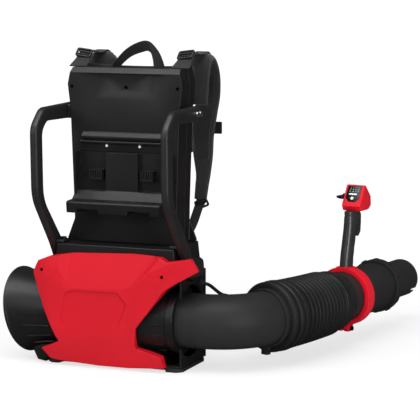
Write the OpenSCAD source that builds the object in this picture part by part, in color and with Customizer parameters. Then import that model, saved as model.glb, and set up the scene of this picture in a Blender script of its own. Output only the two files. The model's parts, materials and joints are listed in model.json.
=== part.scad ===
// Backpack leaf blower. A battery tower with a harness stands on a base that holds an
// axial fan. The fan blows through an elbow, a bellows hose and a straight blow tube,
// which carries the control handle and the nozzle.
// +X is the outlet side, +Y is toward the wearer and +Z is up. The origin is on the
// ground, under the middle of the battery tower.

/* [Base] */
// Left end of the skid, from the origin
skid_left = 150; // [135:1:180]
// Right end of the skid, from the origin
skid_right = 140; // [125:1:168]
// Front-to-back size of the base
base_depth = 122; // [116:1:150]
// Height of the rubber skid
skid_height = 8; // [6:1:12]
// Width of the skid's rails
skid_rail = 24; // [16:1:36]
// Wall of the chassis moulding
chassis_wall = 4; // [3:0.5:5]
// Height of the shoulders that the tower stands on
shoulder_top = 240; // [225:1:290]
// Depth of the shoulder box, from its top down
shoulder_depth = 54; // [40:1:60]

/* [Fan] */
// Height of the fan axis
fan_height = 95; // [92:1:114]
// Distance of the fan axis in front of the base's middle
fan_forward = 10; // [4:1:16]
// Bore of the fan duct, as a radius
duct_bore_r = 62; // [52:1:64]
// Wall of the fan duct
duct_wall = 3.5; // [2.5:0.5:5]
// Left end of the duct, from the origin
duct_left = 116; // [100:1:120]
// Right end of the duct, from the origin
duct_right = 44; // [36:1:50]
// Radius of the intake bell's mouth
bell_mouth_r = 82; // [72:1:84]
// Length of the intake bell along the fan axis
bell_length = 102; // [85:1:120]
// Angle by which the bell's mouth turns toward the wearer
bell_toe = 5.5; // [0:0.5:10]
// Angle by which the bell's mouth turns down
bell_droop = 11; // [0:0.5:14]
// Number of fan blades
blade_count = 9; // [5:1:13]
// Running gap between the blades and the duct
blade_gap = 1; // [0.6:0.1:2]
// Radius of the motor can
motor_r = 30; // [26:1:34]
// Radius of the motor shaft
shaft_r = 4; // [3:0.5:5]

/* [Elbow and hose] */
// Outer radius of the elbow
elbow_r = 54; // [45:1:57]
// Wall of the elbow and of the blow tube
tube_wall = 2.5; // [2:0.5:4]
// Bend radius of the elbow's centre line
elbow_bend_r = 106; // [88:1:127]
// Angle that the elbow turns
elbow_turn = 70; // [60:1:75]
// Angle that the bellows turns at rest
hose_turn = 10; // [6:1:14]
// Length of the bellows along its centre line
bellows_length = 227; // [200:1:272]
// Radius of the bellows at its rear cuff
bellows_rear_r = 69; // [66:1:74]
// Radius of the bellows at its front cuff
bellows_front_r = 63; // [60:1:68]
// Number of ribs on the bellows
rib_count = 11; // [8:1:14]
// Depth of the ribs
rib_depth = 5; // [3:0.5:6]

/* [Blow tube] */
// Outer radius of the blow tube
blow_r = 51.5; // [43:0.5:53]
// Length of the blow tube that shows past the bellows
blow_length = 214; // [180:1:256]
// Radius of the nozzle's end
nozzle_r = 40.5; // [34:0.5:44]
// Length of the nozzle past the blow tube
nozzle_length = 120; // [100:1:144]
// Running gap of the nozzle and of the clamp ring on the tube
sleeve_gap = 0.08; // [0.02:0.01:0.1]

/* [Handle] */
// Distance from the bellows to the middle of the clamp ring
clamp_at = 66; // [60:1:90]
// Width of the clamp ring
clamp_width = 28; // [22:1:34]
// Thickness of the clamp ring
clamp_thickness = 10.5; // [9:0.5:13]
// Width of the grip
grip_width = 25; // [21:1:30]
// Width of the control head
head_width = 43; // [36:1:51]
// Wall of the handle's mouldings
handle_wall = 2.5; // [2:0.5:3]

/* [Tower] */
// Height of the tower's top edge above the ground
tower_top = 583; // [560:1:650]
// Half width of the tower at its widest
tower_half_w = 122; // [116:1:126]
// Distance of the tower's front face in front of the base's middle
tower_forward = 10; // [4:1:14]
// Depth of the tower's front moulding
panel_depth = 42; // [36:1:48]
// Wall of the tower's mouldings
tower_wall = 3; // [2:0.5:4]
// Distance between the two battery terminals
terminal_pitch = 108; // [96:1:124]
// Height of the battery ledge's underside
ledge_height = 303; // [290:1:320]
// How far the ledge stands out from the tower
ledge_reach = 60; // [48:1:72]

/* [Side handles] */
// Width of a side handle's bar
bar_width = 16; // [13:1:20]
// Thickness of a side handle's bar, seen from the side
bar_depth = 29; // [24:1:34]
// Distance of the side handles' middle from the origin
bar_offset = 136; // [134:1:144]
// How far the side handles reach in front of the base's middle
bar_reach = 136; // [112:1:160]

/* [Harness] */
// Thickness of the back pad
back_pad_depth = 18; // [14:1:22]
// Height of the back pad
back_pad_height = 170; // [140:1:204]
// Thickness of a shoulder strap
strap_thickness = 14; // [10:1:18]
// Width of the webbing
webbing_width = 25; // [20:1:30]
// Thickness of the webbing
webbing_thickness = 2; // [1.4:0.2:3]
// Height of the haul loop above the tower
haul_height = 50; // [40:1:60]

/* [Hidden] */

$fn = 64;
e = 1;              // overshoot of every cut
seat = 0.3;         // gap between a piece and what it is seated on
charcoal = [0.13, 0.13, 0.14];
black = [0.07, 0.07, 0.075];
red = [0.82, 0.05, 0.08];
steel = [0.62, 0.63, 0.65];
webbing_black = [0.16, 0.16, 0.17];

// Base
base_front = -base_depth / 2;
floor_z = skid_height + seat;
shoulder_bottom = shoulder_top - shoulder_depth;
shoulder_left = skid_left + 16;
shoulder_right = skid_right + 20;
shoulder_rear = base_depth / 2 - 2 * chassis_wall;
shoulder_flat = 124;     // half width of the flat top
bulkhead_inset = 8;      // the bulkheads' distance from the duct's ends
foot_left = 122;         // the front of the skid is set back between its two feet
foot_right = 106;
skid_notch = 16;

// Fan: everything on the fan axis is placed by its x
fan_y = -fan_forward;
duct_r = duct_bore_r + duct_wall;
duct_flange_r = duct_r + 4.5;
duct_flange = 3;
// The rear wall clears the fan's flanges
base_rear = max(base_depth / 2, fan_y + duct_flange_r + chassis_wall + 5);
bell_wall = 3;
bell_x = -duct_left - duct_flange - seat;
bell_lip = 1.5;
bell_rib_count = 18;
grille_at = 0.88;        // place of the grille along the bell, as a part of its length
blade_chord = 34;
blade_pitch = 38;
hub_r = motor_r - 3;
impeller_x = -46;
can_left = -10;
can_length = 48;
can_wall = 3;
bearing_r = 9;
bearing_width = 7;
bearing_play = 0.05;
tail_length = 48;
cone_left = duct_right + duct_flange + seat;
cone_right = 117;
cone_r = elbow_r + 8;
// Widest radius of what stands round the fan axis behind the cover
fan_reach = max(duct_flange_r, cone_r + 7);
elbow_flange_r = elbow_r + 6;
elbow_flange = 3.5;
ring_r = elbow_r + 13;
ring_length = 11;

// Elbow: it starts at elbow_x, runs straight, turns, and ends in a straight stub
elbow_x = cone_right + seat;
elbow_straight = 46;
stub_length = 16;
stub_inside = 26;
bend_step = 0.3;        // the bend is this much slimmer than its straight ends
bend_x = elbow_x + elbow_straight;
bend_y = fan_y + elbow_bend_r;
turned = [bend_x + elbow_bend_r * sin(elbow_turn), bend_y - elbow_bend_r * cos(elbow_turn)];
hose_start = turned + stub_length * [cos(elbow_turn), sin(elbow_turn)];

// Bellows: straight cuffs with an arc between them
rear_cuff = 30;
front_cuff = 32;
bellows_arc = bellows_length - rear_cuff - front_cuff;
bellows_arc_r = bellows_arc * 180 / (PI * hose_turn);
bellows_sides = 24;
bellows_skin = 2.5;
cuff_gap = 0.4;

// A point on the bellows' centre line, s from its rear end, and the heading there
function heading(s) =
    elbow_turn + hose_turn * min(1, max(0, (s - rear_cuff) / bellows_arc));
function along(p, angle, s) = p + s * [cos(angle), sin(angle)];
arc_start = along(hose_start, elbow_turn, rear_cuff);
arc_centre = along(arc_start, elbow_turn + 90, bellows_arc_r);
function on_arc(angle) = along(arc_centre, angle - 90, bellows_arc_r);
tube_heading = elbow_turn + hose_turn;
arc_end = on_arc(tube_heading);
hose_end = along(arc_end, tube_heading, front_cuff);
function centre_line(s) =
    s < rear_cuff ? along(hose_start, elbow_turn, s)
    : s > rear_cuff + bellows_arc ? along(arc_end, tube_heading, s - rear_cuff - bellows_arc)
    : on_arc(heading(s));

// Blow tube: its own frame has y along the tube from the bellows' front end
blow_inside = 26;
collar_r = blow_r + 5.5;
collar_back = 14;
nozzle_ring_r = 46;
nozzle_neck = 34;

// Handle, in the blow tube's frame, z from the tube's axis
clamp_r = blow_r + clamp_thickness;
grip_base = clamp_r + seat;
grip_top = clamp_r + 113.5;
head_tilt = 30;
head_base = grip_top + seat;
key_foot = [20, head_base + 10];
key_length = 49;
trigger_pivot = [36, clamp_r + 106];
trigger_pin_r = 2.5;
trigger_play = 0.06;
trigger_pin_half = grip_width / 2 - handle_wall - seat;
lever_pin_r = 4;
lever_at = [37, head_base + 28];
key_depth = 2;
button_depth = 2.1;
button_travel = 1;

// Tower
tower_front = -tower_forward;
tower_rear = base_depth / 2;
tower_foot = shoulder_top + seat;
plate_front = tower_front + panel_depth + seat;
tower_waist = tower_half_w - 12;
pocket_deep = 9;
screw_r = 3.5;
screw_inset = 10;
dock_half_w = tower_waist - 12;
dock_top = ledge_height + 155;
bay_foot = ledge_height + 40;
bay_top = ledge_height + 113;
dock_skin = 3;
terminal_z = ledge_height + 62;

// Harness
strap_x = 101;
pad_seat = tower_rear + seat;
back_pad_z = tower_top - 82;
lumbar_z = ledge_height - 34;
crown_z = tower_top + 20;

// ------------------------------------------------------------------ helpers

// A plate drawn in the XZ plane, from y0 to y1
module plate_y(y0, y1) {
    translate([0, y1, 0]) rotate([90, 0, 0]) linear_extrude(y1 - y0) children();
}

// A plate drawn in the YZ plane, from x0 to x1
module plate_x(x0, x1) {
    translate([x0, 0, 0]) rotate([90, 0, 90]) linear_extrude(x1 - x0) children();
}

// Puts a piece on the fan axis at x, its own z along +X
module on_fan_axis(x) {
    translate([x, fan_y, fan_height]) rotate([0, 90, 0]) children();
}

// Puts a piece in the mouth's frame, its own z out of the mouth
module on_mouth(back) {
    translate(bell_centre(1)) rotate([0, 0, -bell_toe]) rotate([0, -90 - bell_droop, 0])
        translate([0, 0, -back]) children();
}

// Puts a piece in the blow tube's frame
module on_tube() {
    translate([hose_end[0], hose_end[1], fan_height]) rotate([0, 0, tube_heading - 90]) children();
}

// Puts a piece on the tube with its own z along the tube, from s past the bellows
module along_tube(s) {
    on_tube() translate([0, s, 0]) rotate([-90, 0, 0]) children();
}

// Puts a piece in the handle's frame, over the clamp ring
module on_handle() {
    on_tube() translate([0, clamp_at, 0]) children();
}

module pipe(r_out, r_in, length) {
    difference() {
        cylinder(r = r_out, h = length);
        translate([0, 0, -e]) cylinder(r = r_in, h = length + 2 * e);
    }
}

module mirrored() {
    children();
    mirror([1, 0, 0]) children();
}

// A closed tube through rings of equally many points
module skin(rings) {
    n = len(rings[0]);
    m = len(rings);
    points = [for (ring = rings) each ring];
    start = [for (i = [0:n - 1]) n - 1 - i];
    end = [for (i = [0:n - 1]) (m - 1) * n + i];
    sides = [
        for (j = [0:m - 2])
            for (i = [0:n - 1])
                each [
                    [j * n + i, j * n + (i + 1) % n, (j + 1) * n + (i + 1) % n],
                    [j * n + i, (j + 1) * n + (i + 1) % n, (j + 1) * n + i],
                ]
    ];
    polyhedron(points = points, faces = concat([start], [end], sides), convexity = 6);
}

// Catmull-Rom point between p[i] and p[i + 1]
function spline_at(p, i, t) =
    let (a = p[max(0, i - 1)], b = p[i], c = p[i + 1], d = p[min(len(p) - 1, i + 2)])
    0.5 * (2 * b + (c - a) * t + (2 * a - 5 * b + 4 * c - d) * t * t
        + (3 * b - a - 3 * c + d) * t * t * t);
function spline(p, steps) =
    concat([for (i = [0:len(p) - 2]) for (k = [0:steps - 1]) spline_at(p, i, k / steps)],
        [p[len(p) - 1]]);

// ------------------------------------------------------------------ base

module skid_outline(notch) {
    corner = 10;
    polygon([
        [-skid_left, base_front + corner], [-skid_left + corner, base_front],
        [-foot_left, base_front], [-foot_left + 4, base_front + notch],
        [foot_right - 4, base_front + notch], [foot_right, base_front],
        [skid_right - corner, base_front], [skid_right, base_front + corner],
        [skid_right, base_rear - corner], [skid_right - corner, base_rear],
        [-skid_left + corner, base_rear], [-skid_left, base_rear - corner],
    ]);
}

module foot_skid() {
    color(black) difference() {
        linear_extrude(skid_height) skid_outline(skid_notch);
        translate([skid_rail - skid_left, base_front + skid_notch + skid_rail, -e]) cube([
            skid_left + skid_right - 2 * skid_rail,
            base_depth - skid_notch - 2 * skid_rail, skid_height + 2 * e,
        ]);
    }
}

// Upright wall across the base with an opening for the duct
module bulkhead(x) {
    difference() {
        translate([x, base_front, floor_z])
            cube([chassis_wall, base_depth - chassis_wall / 2, shoulder_bottom - floor_z + e]);
        on_fan_axis(x - e) cylinder(r = duct_r + seat, h = chassis_wall + 2 * e);
    }
}

// Shoulders: a plan, drawn in toward the top by a front profile
module shoulder_outline(inset) {
    polygon([
        [inset - shoulder_left, base_front + inset], [shoulder_right - inset, base_front + inset],
        [shoulder_right - inset, fan_y + 20], [skid_right - inset, shoulder_rear + chassis_wall - inset],
        [skid_right - inset - 6, base_rear - inset], [inset + 6 - skid_left, base_rear - inset],
        [inset - shoulder_left, fan_y + 10],
    ]);
}

module shoulder_profile(inset) {
    plate_y(base_front - e, base_rear + e) polygon([
        [-shoulder_left - e, shoulder_bottom - e], [shoulder_right + e, shoulder_bottom - e],
        [shoulder_right + e, shoulder_bottom], [shoulder_flat + 24 - inset, shoulder_bottom + 9],
        [shoulder_flat + 3.5 - inset, shoulder_bottom + 22 - inset / 2],
        [shoulder_flat - inset, shoulder_top - inset], [inset - shoulder_flat, shoulder_top - inset],
        [inset - shoulder_flat - 3.5, shoulder_bottom + 22 - inset / 2],
        [inset - shoulder_flat - 24, shoulder_bottom + 9], [-shoulder_left - e, shoulder_bottom],
    ]);
}

module shoulder_box() {
    difference() {
        intersection() {
            translate([0, 0, shoulder_bottom]) linear_extrude(shoulder_depth) shoulder_outline(0);
            shoulder_profile(0);
        }
        intersection() {
            translate([0, 0, shoulder_bottom - e]) linear_extrude(shoulder_depth + e)
                shoulder_outline(chassis_wall);
            shoulder_profile(chassis_wall);
        }
        // slot that the power leads of the tower come through
        translate([-30, base_rear - 34, shoulder_top - chassis_wall - e])
            cube([60, 16, chassis_wall + 2 * e]);
    }
}

module right_wall() {
    difference() {
        translate([skid_right - chassis_wall, base_front, floor_z])
            cube([chassis_wall, base_depth - chassis_wall / 2, shoulder_bottom - floor_z + e]);
        on_fan_axis(skid_right - chassis_wall - e)
            cylinder(r = ring_r + 3, h = chassis_wall + 2 * e);
        on_gland(-2 * chassis_wall) cylinder(r = cable_r + 1, h = 4 * chassis_wall);
    }
}

// Toe under the bell, sloped like a ski
module left_toe() {
    tip = [[-skid_left - 19, 4], [-skid_left - 28, floor_z + 14], [-skid_left - 25, floor_z + 20]];
    plate_y(base_front, base_front + 20) polygon(concat(tip, [
        [12 - skid_left, floor_z + 14], [12 - skid_left, floor_z], [-skid_left - seat, floor_z],
        [-skid_left - seat, 1],
    ]));
    // lip that closes the front under the bell
    plate_y(base_front, base_front + 4) polygon(concat(tip, [
        [-skid_left - 10, floor_z + 26], [36 - skid_left, floor_z + 28], [36 - skid_left, floor_z],
        [-skid_left - seat, floor_z], [-skid_left - seat, 1],
    ]));
}

module base_chassis() {
    color(charcoal) {
        translate([0, 0, floor_z]) linear_extrude(chassis_wall) skid_outline(4);
        translate([-duct_left, base_rear - chassis_wall, floor_z])
            cube([duct_left + skid_right, chassis_wall, shoulder_bottom - floor_z + e]);
        bulkhead(bulkhead_inset - duct_left);
        bulkhead(duct_right - bulkhead_inset - chassis_wall);
        right_wall();
        shoulder_box();
        left_toe();
    }
}

// Cover: a shell with sloping faces over the duct, cut to its outline
cover_back = base_front - seat;
cover_wall = 3;
cover_front = min(fan_y - fan_reach - cover_wall - 9, cover_back - 30);
wing_front = cover_front + 21;
cover_left = shoulder_left + 10;
cover_right = shoulder_right + 19;
// x of each screw and how far forward the cover's face is there
cover_screws = [[-146, 0.68], [109, 0.59]];
cover_screw_z = 190;

module cover_outline() {
    polygon([
        [6 - cover_left, 183], [20 - cover_left, 207], [-131, 217], [-85, 224], [42, 229],
        [103, 226], [117, 218], [cover_right - 15, 226], [cover_right, 202], [136, 178],
        [112, 162], [80, 118], [56, 87], [53, 48], [104, 32], [110, 9], [32, 4], [-30, 4],
        [-118, 9], [-134, 12], [-150.5, 33], [-110, 50], [-143.5, 116],
    ]);
}

module cover_bulge(inset) {
    back = cover_back + e;
    hull() {
        translate([-cover_left - 6, wing_front + inset, -4])
            cube([cover_left + cover_right + 12, back - wing_front - inset + e, 242]);
        plate_y(cover_front + inset, cover_front + inset + 1)
            polygon([[-125, 62], [48, 62], [62, 166], [70, 192], [-118, 192], [-130, 166]]);
    }
}

// Badge recess with drafted sides, widest along the lower one
module cover_badge(inset) {
    depth = 3;
    hull() {
        plate_y(cover_front - e, cover_front + inset) offset(delta = inset)
            polygon([[-95, 147], [-76, 155], [18, 155], [38, 134], [21, 86], [-104, 86]]);
        plate_y(cover_front + depth - 0.1 + inset, cover_front + depth + inset) offset(delta = inset)
            polygon([[-93, 146], [-75, 153], [17, 153], [36, 134], [21, 93], [-101, 93]]);
    }
}

// Recess under the top edge: drafted sides and a floor that slopes back as it rises
module cover_step(inset) {
    hull() {
        plate_y(cover_front - 10, cover_front + inset) offset(delta = inset)
            polygon([[-87, 165], [43, 167], [115, 217], [125, 240], [-128, 240], [-124, 216]]);
        plate_y(cover_front + 25 + inset, cover_front + 26 + inset) offset(delta = inset)
            polygon([[-97, 226], [84, 226], [84, 250], [-97, 250]]);
    }
}

module cover_body(inset) {
    difference() {
        intersection() {
            plate_y(cover_front - e, cover_back) offset(delta = -inset) cover_outline();
            cover_bulge(inset);
        }
        cover_badge(inset);
        cover_step(inset);
    }
}

module cover_screw_holes() {
    for (s = cover_screws)
        translate([s[0], cover_front - e, cover_screw_z]) rotate([-90, 0, 0])
            cylinder(r = screw_r, h = 40);
}

// Space that the bell, the duct and the outlet cone take, with clearance
module duct_envelope() {
    clear = 2;
    on_fan_axis(-duct_left - 8)
        cylinder(r = duct_flange_r + clear, h = duct_left + duct_right + 12);
    on_fan_axis(duct_right) cylinder(r = fan_reach + 4 + clear, h = 80);
    bell_solid(bell_wall + 2.5 + clear, 0);
}

module front_cover() {
    color(red) difference() {
        cover_body(0);
        cover_body(cover_wall);
        plate_y(cover_back - e, cover_back + e) offset(delta = -cover_wall) cover_outline();
        cover_screw_holes();
        duct_envelope();
    }
}

// ------------------------------------------------------------------ fan

// The bell is a flare whose middle line bends from the fan axis to its mouth
bell_steps = 8;
bell_sides = 36;
function bell_normal(t) = [
    -cos(bell_toe * t) * cos(bell_droop * t), sin(bell_toe * t) * cos(bell_droop * t), -sin(bell_droop * t),
];
bell_mouth = [bell_x - bell_length, fan_y + bell_length * tan(bell_toe), fan_height - 2];
function bell_centre(t) =
    let (
        a = [bell_x, fan_y, fan_height],
        b = a + [-bell_length / 3, 0, 0],
        d = bell_mouth,
        c = d - bell_length / 3 * bell_normal(1),
        u = 1 - t
    )
    u * u * u * a + 3 * u * u * t * b + 3 * u * t * t * c + t * t * t * d;
function bell_r(t) = duct_bore_r + (bell_mouth_r - duct_bore_r) * t * t;
function bell_point(t, angle, r) =
    let (
        n = bell_normal(t),
        side = [sin(bell_toe * t), cos(bell_toe * t), 0],
        up = cross(side, n)
    )
    bell_centre(t) + r * (cos(angle) * side + sin(angle) * up);
function bell_ring(t, r) =
    [for (i = [0:bell_sides - 1]) bell_point(t, i * 360 / bell_sides, r)];

// The flare as a solid, grown outward and past both ends
module bell_solid(grow, past) {
    ends = past > 0;
    rings = concat(
        ends ? [[for (p = bell_ring(0, bell_r(0) + grow)) p + [past, 0, 0]]] : [],
        [for (i = [0:bell_steps]) bell_ring(i / bell_steps, bell_r(i / bell_steps) + grow)],
        ends ? [[for (p = bell_ring(1, bell_r(1) + grow + 0.2)) p + past * bell_normal(1)]] : []
    );
    skin(rings);
}

module bell_rib(angle) {
    half = 1;
    skin([
        for (p = [[0.2, 0.4], [0.26, 2.4], [0.45, 2.6], [0.62, 2.4], [0.68, 0.4]])
            let (
                r = bell_r(p[0]) + bell_wall,
                a = half * 180 / (PI * r),
                low = r - 1.6,
                high = r + p[1]
            )
            [
                bell_point(p[0], angle - a, low), bell_point(p[0], angle - a, high),
                bell_point(p[0], angle + a, high), bell_point(p[0], angle + a, low),
            ]
    ]);
}

module inlet_bell() {
    color(charcoal) {
        difference() {
            union() {
                bell_solid(bell_wall, 0);
                // rolled lip
                skin([
                    bell_ring(0.955, bell_r(0.955) + 1),
                    bell_ring(0.965, bell_r(0.97) + bell_wall + bell_lip),
                    bell_ring(0.995, bell_r(1) + bell_wall + bell_lip),
                    bell_ring(1, bell_r(1) + bell_wall + 1),
                ]);
                for (i = [0:bell_rib_count - 1])
                    bell_rib((i + 0.5) * 360 / bell_rib_count);
            }
            bell_solid(0, e);
        }
        on_fan_axis(bell_x - duct_flange)
            pipe(duct_flange_r, duct_bore_r + bell_wall - 1, duct_flange);
    }
}

module inlet_grille() {
    flare = 2 * (bell_mouth_r - duct_bore_r) * grille_at / bell_length;
    rim = bell_r(grille_at) - 2.3 * flare;
    color(black) on_mouth(12) {
        union() {
            for (r = [18, 34, 50, rim])
                pipe(r, r - 2.4, 3);
            for (a = [20:60:320])
                rotate([0, 0, a]) translate([7, -1.2, 0.2]) cube([rim - 8, 2.4, 2.6]);
            cylinder(r = 9, h = 3);
        }
    }
}

module fan_duct() {
    color(charcoal) on_fan_axis(-duct_left) difference() {
        union() {
            cylinder(r = duct_r, h = duct_left + duct_right);
            translate([0, 0, -duct_flange]) cylinder(r = duct_flange_r, h = duct_flange + e);
            translate([0, 0, duct_left + duct_right - e])
                cylinder(r = duct_flange_r, h = duct_flange + e);
        }
        translate([0, 0, -duct_flange - e])
            cylinder(r = duct_bore_r, h = duct_left + duct_right + 2 * duct_flange + 2 * e);
    }
}

vane_count = 7;
module stator_vanes() {
    color(charcoal) on_fan_axis(can_left) difference() {
        union() {
            cylinder(r = motor_r + 3, h = can_length - 8);
            intersection() {
                cylinder(r = duct_bore_r - seat / 2, h = can_length - 8);
                for (i = [0:vane_count - 1])
                    rotate([0, 0, i * 360 / vane_count]) translate([motor_r + 1, -1.3, 2])
                        cube([duct_bore_r, 2.6, can_length - 12]);
            }
        }
        translate([0, 0, -e]) cylinder(r = motor_r + seat / 2, h = can_length);
    }
}

module motor_can() {
    color(steel) on_fan_axis(can_left) difference() {
        cylinder(r = motor_r, h = can_length);
        translate([0, 0, can_wall]) cylinder(r = motor_r - can_wall, h = can_length - 2 * can_wall);
        for (z = [-e, can_length - can_wall - e])
            translate([0, 0, z]) cylinder(r = bearing_r + bearing_play, h = can_wall + 2 * e);
    }
}

module motor_stator() {
    color([0.6, 0.35, 0.18]) on_fan_axis(can_left + can_wall + bearing_width)
        pipe(motor_r - can_wall - seat / 2, 15.5, can_length - 2 * can_wall - 2 * bearing_width);
}

module motor_bearings() {
    color(steel) for (x = [can_left, can_left + can_length - bearing_width]) on_fan_axis(x)
        pipe(bearing_r, shaft_r + bearing_play, bearing_width);
}

module motor_shaft() {
    core = can_length - 2 * can_wall - 2 * bearing_width;
    color(steel) {
        on_fan_axis(impeller_x - 24)
            cylinder(r = shaft_r, h = can_left + can_length - impeller_x + 24 - 1);
        on_fan_axis(can_left + can_wall + bearing_width + 0.5) cylinder(r = 14.5, h = core - 1);
    }
}

module tail_cone() {
    color(charcoal) on_fan_axis(can_left + can_length + seat) difference() {
        cylinder(r1 = motor_r, r2 = 10, h = tail_length);
        translate([0, 0, -e]) cylinder(r = 11, h = 12);
    }
}

module impeller() {
    tip_r = duct_bore_r - blade_gap;
    color([0.2, 0.2, 0.21]) on_fan_axis(impeller_x) difference() {
        union() {
            rotate_extrude() polygon([
                [0, -22], [8, -21], [17, -15], [24, -4], [hub_r, 6],
                [hub_r, blade_chord], [0, blade_chord],
            ]);
            intersection() {
                pipe(tip_r, hub_r - 2, blade_chord - 2);
                for (i = [0:blade_count - 1])
                    rotate([0, 0, i * 360 / blade_count])
                        translate([(hub_r - 2 + tip_r) / 2, 0, blade_chord / 2 - 1])
                            rotate([90 - blade_pitch, 0, 0])
                                cube([tip_r - hub_r + 12, blade_chord + 10, 2.4], center = true);
            }
        }
        translate([0, 0, -23]) cylinder(r = shaft_r + 0.02, h = blade_chord + 24);
    }
}

module outlet_cone() {
    length = cone_right - cone_left;
    rib_top = cone_r + 5;
    color(charcoal) on_fan_axis(cone_left) difference() {
        union() {
            cylinder(r = duct_flange_r, h = duct_flange);
            cylinder(r1 = duct_flange_r - 0.5, r2 = cone_r, h = length);
            for (i = [0:bell_rib_count - 1])
                rotate([0, 0, (i + 0.5) * 360 / bell_rib_count]) translate([cone_r - 6, -1, 10])
                    cube([rib_top + 5 - cone_r, 2, length - 26]);
        }
        translate([0, 0, -e])
            cylinder(r1 = duct_bore_r + 0.2, r2 = elbow_r - tube_wall - 0.2, h = length + 2 * e);
    }
}

// Split band that holds the elbow's flange against the outlet cone
module outlet_ring() {
    taper = max(0, duct_flange_r - 0.5 - cone_r) / (cone_right - cone_left);
    color(black) on_fan_axis(cone_right - ring_length / 2) difference() {
        cylinder(r = ring_r, h = ring_length + 4);
        translate([0, 0, -e])
            cylinder(r = cone_r + 0.2 + taper * ring_length / 2,
                     h = ring_length / 2 + elbow_flange + seat + e + 0.3);
        translate([0, 0, -e]) cylinder(r = elbow_r + seat, h = ring_length + 6);
    }
}

// ------------------------------------------------------------------ elbow and hose

// Solid shape of the elbow, r in its straight ends and over - past each end
module elbow_core(r, over) {
    on_fan_axis(elbow_x - over) cylinder(r = r, h = elbow_straight + over + 1);
    translate([bend_x, bend_y, fan_height]) rotate([0, 0, -90]) rotate_extrude(angle = elbow_turn)
        translate([elbow_bend_r, 0]) circle(r = r - bend_step);
    translate([turned[0], turned[1], fan_height]) rotate([0, 0, elbow_turn]) rotate([0, 90, 0])
        translate([0, 0, -1]) cylinder(r = r, h = stub_length + stub_inside + over + 1);
}

module elbow() {
    color(black) difference() {
        union() {
            elbow_core(elbow_r, 0);
            on_fan_axis(elbow_x) cylinder(r = elbow_flange_r, h = elbow_flange);
        }
        elbow_core(elbow_r - tube_wall, e);
    }
}

module at_hose_start(back) {
    translate([hose_start[0], hose_start[1], fan_height]) rotate([0, 0, elbow_turn])
        rotate([0, 90, 0]) translate([0, 0, -back]) children();
}

module clamp_lug(r, width, drop) {
    translate([r, -8, 0]) cube([drop, 16, width]);
}

module rear_hose_clamp() {
    width = 11;
    color(black) at_hose_start(width + seat) difference() {
        union() {
            cylinder(r = elbow_r + 4, h = width);
            clamp_lug(elbow_r + 2, width, 17);
        }
        translate([0, 0, -e]) cylinder(r = elbow_r + seat, h = width + 2 * e);
        // screw through the lug
        translate([elbow_r + 12, 0, width / 2]) rotate([90, 0, 0])
            cylinder(r = 2.6, h = 40, center = true);
    }
}

// Radius of the bellows' outside, at distances from its rear end
cuff_crest = bellows_rear_r + 1;
rib_start = rear_cuff + 20;
rib_end = bellows_length - front_cuff + 2;
rib_pitch = (rib_end - rib_start) / rib_count;
function crest(s) =
    bellows_rear_r + (bellows_front_r + 4 - bellows_rear_r) * (s - rib_start) / (rib_end - rib_start);
bellows_profile = concat(
    [
        [0, bellows_rear_r - 7], [3, cuff_crest], [12, cuff_crest], [15, cuff_crest - 6],
        [19, cuff_crest - 6], [22, cuff_crest + 1], [30, cuff_crest + 1], [33, cuff_crest - 5],
        [36, cuff_crest - 5], [39, bellows_rear_r + 1], [rib_start - 2, bellows_rear_r],
    ],
    [
        for (i = [0:rib_count - 1])
            each [
                [rib_start + i * rib_pitch + 1, crest(rib_start + i * rib_pitch) - rib_depth],
                [rib_start + (i + 0.5) * rib_pitch, crest(rib_start + (i + 0.5) * rib_pitch)],
            ]
    ],
    [
        [rib_end + 1, bellows_front_r - 1], [bellows_length - 18, bellows_front_r],
        [bellows_length - 3, bellows_front_r - 1], [bellows_length, bellows_front_r - 5],
    ]
);

function ring_points(s, r) =
    let (c = centre_line(s), h = heading(s))
    [
        for (i = [0:bellows_sides - 1])
            let (a = i * 360 / bellows_sides)
            [c[0] + r * sin(h) * cos(a), c[1] - r * cos(h) * cos(a), fan_height + r * sin(a)]
    ];

function bored(r) = (r + cuff_gap) / cos(180 / bellows_sides);
module bellows() {
    inner = bellows_front_r - rib_depth - bellows_skin;
    mid = max(bored(elbow_r), inner);
    bore = [
        [-1, bored(elbow_r)], [stub_inside + 3, bored(elbow_r)], [rib_start - 6, mid],
        [rib_start + 70, mid], [rib_end - 20, inner],
        [bellows_length - blow_inside - 3, bored(blow_r)], [bellows_length + 1, bored(blow_r)],
    ];
    color(black) difference() {
        skin([for (p = bellows_profile) ring_points(p[0], p[1])]);
        skin([for (p = bore) ring_points(p[0], p[1])]);
    }
}

module swivel_tube() {
    bead = 3;
    color(black) along_tube(-blow_inside) difference() {
        union() {
            cylinder(r = blow_r, h = blow_inside + blow_length);
            // stop for the clamp ring, in front of the bellows
            translate([0, 0, blow_inside + 15]) cylinder(r = blow_r + bead, h = 4);
        }
        translate([0, 0, -e])
            cylinder(r = blow_r - tube_wall, h = blow_inside + blow_length + 2 * e);
    }
}

// Band on the bellows' front cuff, recessed behind its edge
module front_hose_clamp() {
    color(black) along_tube(seat) difference() {
        union() {
            cylinder(r = blow_r + 4, h = 10);
            rotate([0, 0, 90]) clamp_lug(blow_r + 2, 10, 11);
        }
        translate([0, 0, -e]) cylinder(r = blow_r + seat, h = 12);
    }
}

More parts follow.
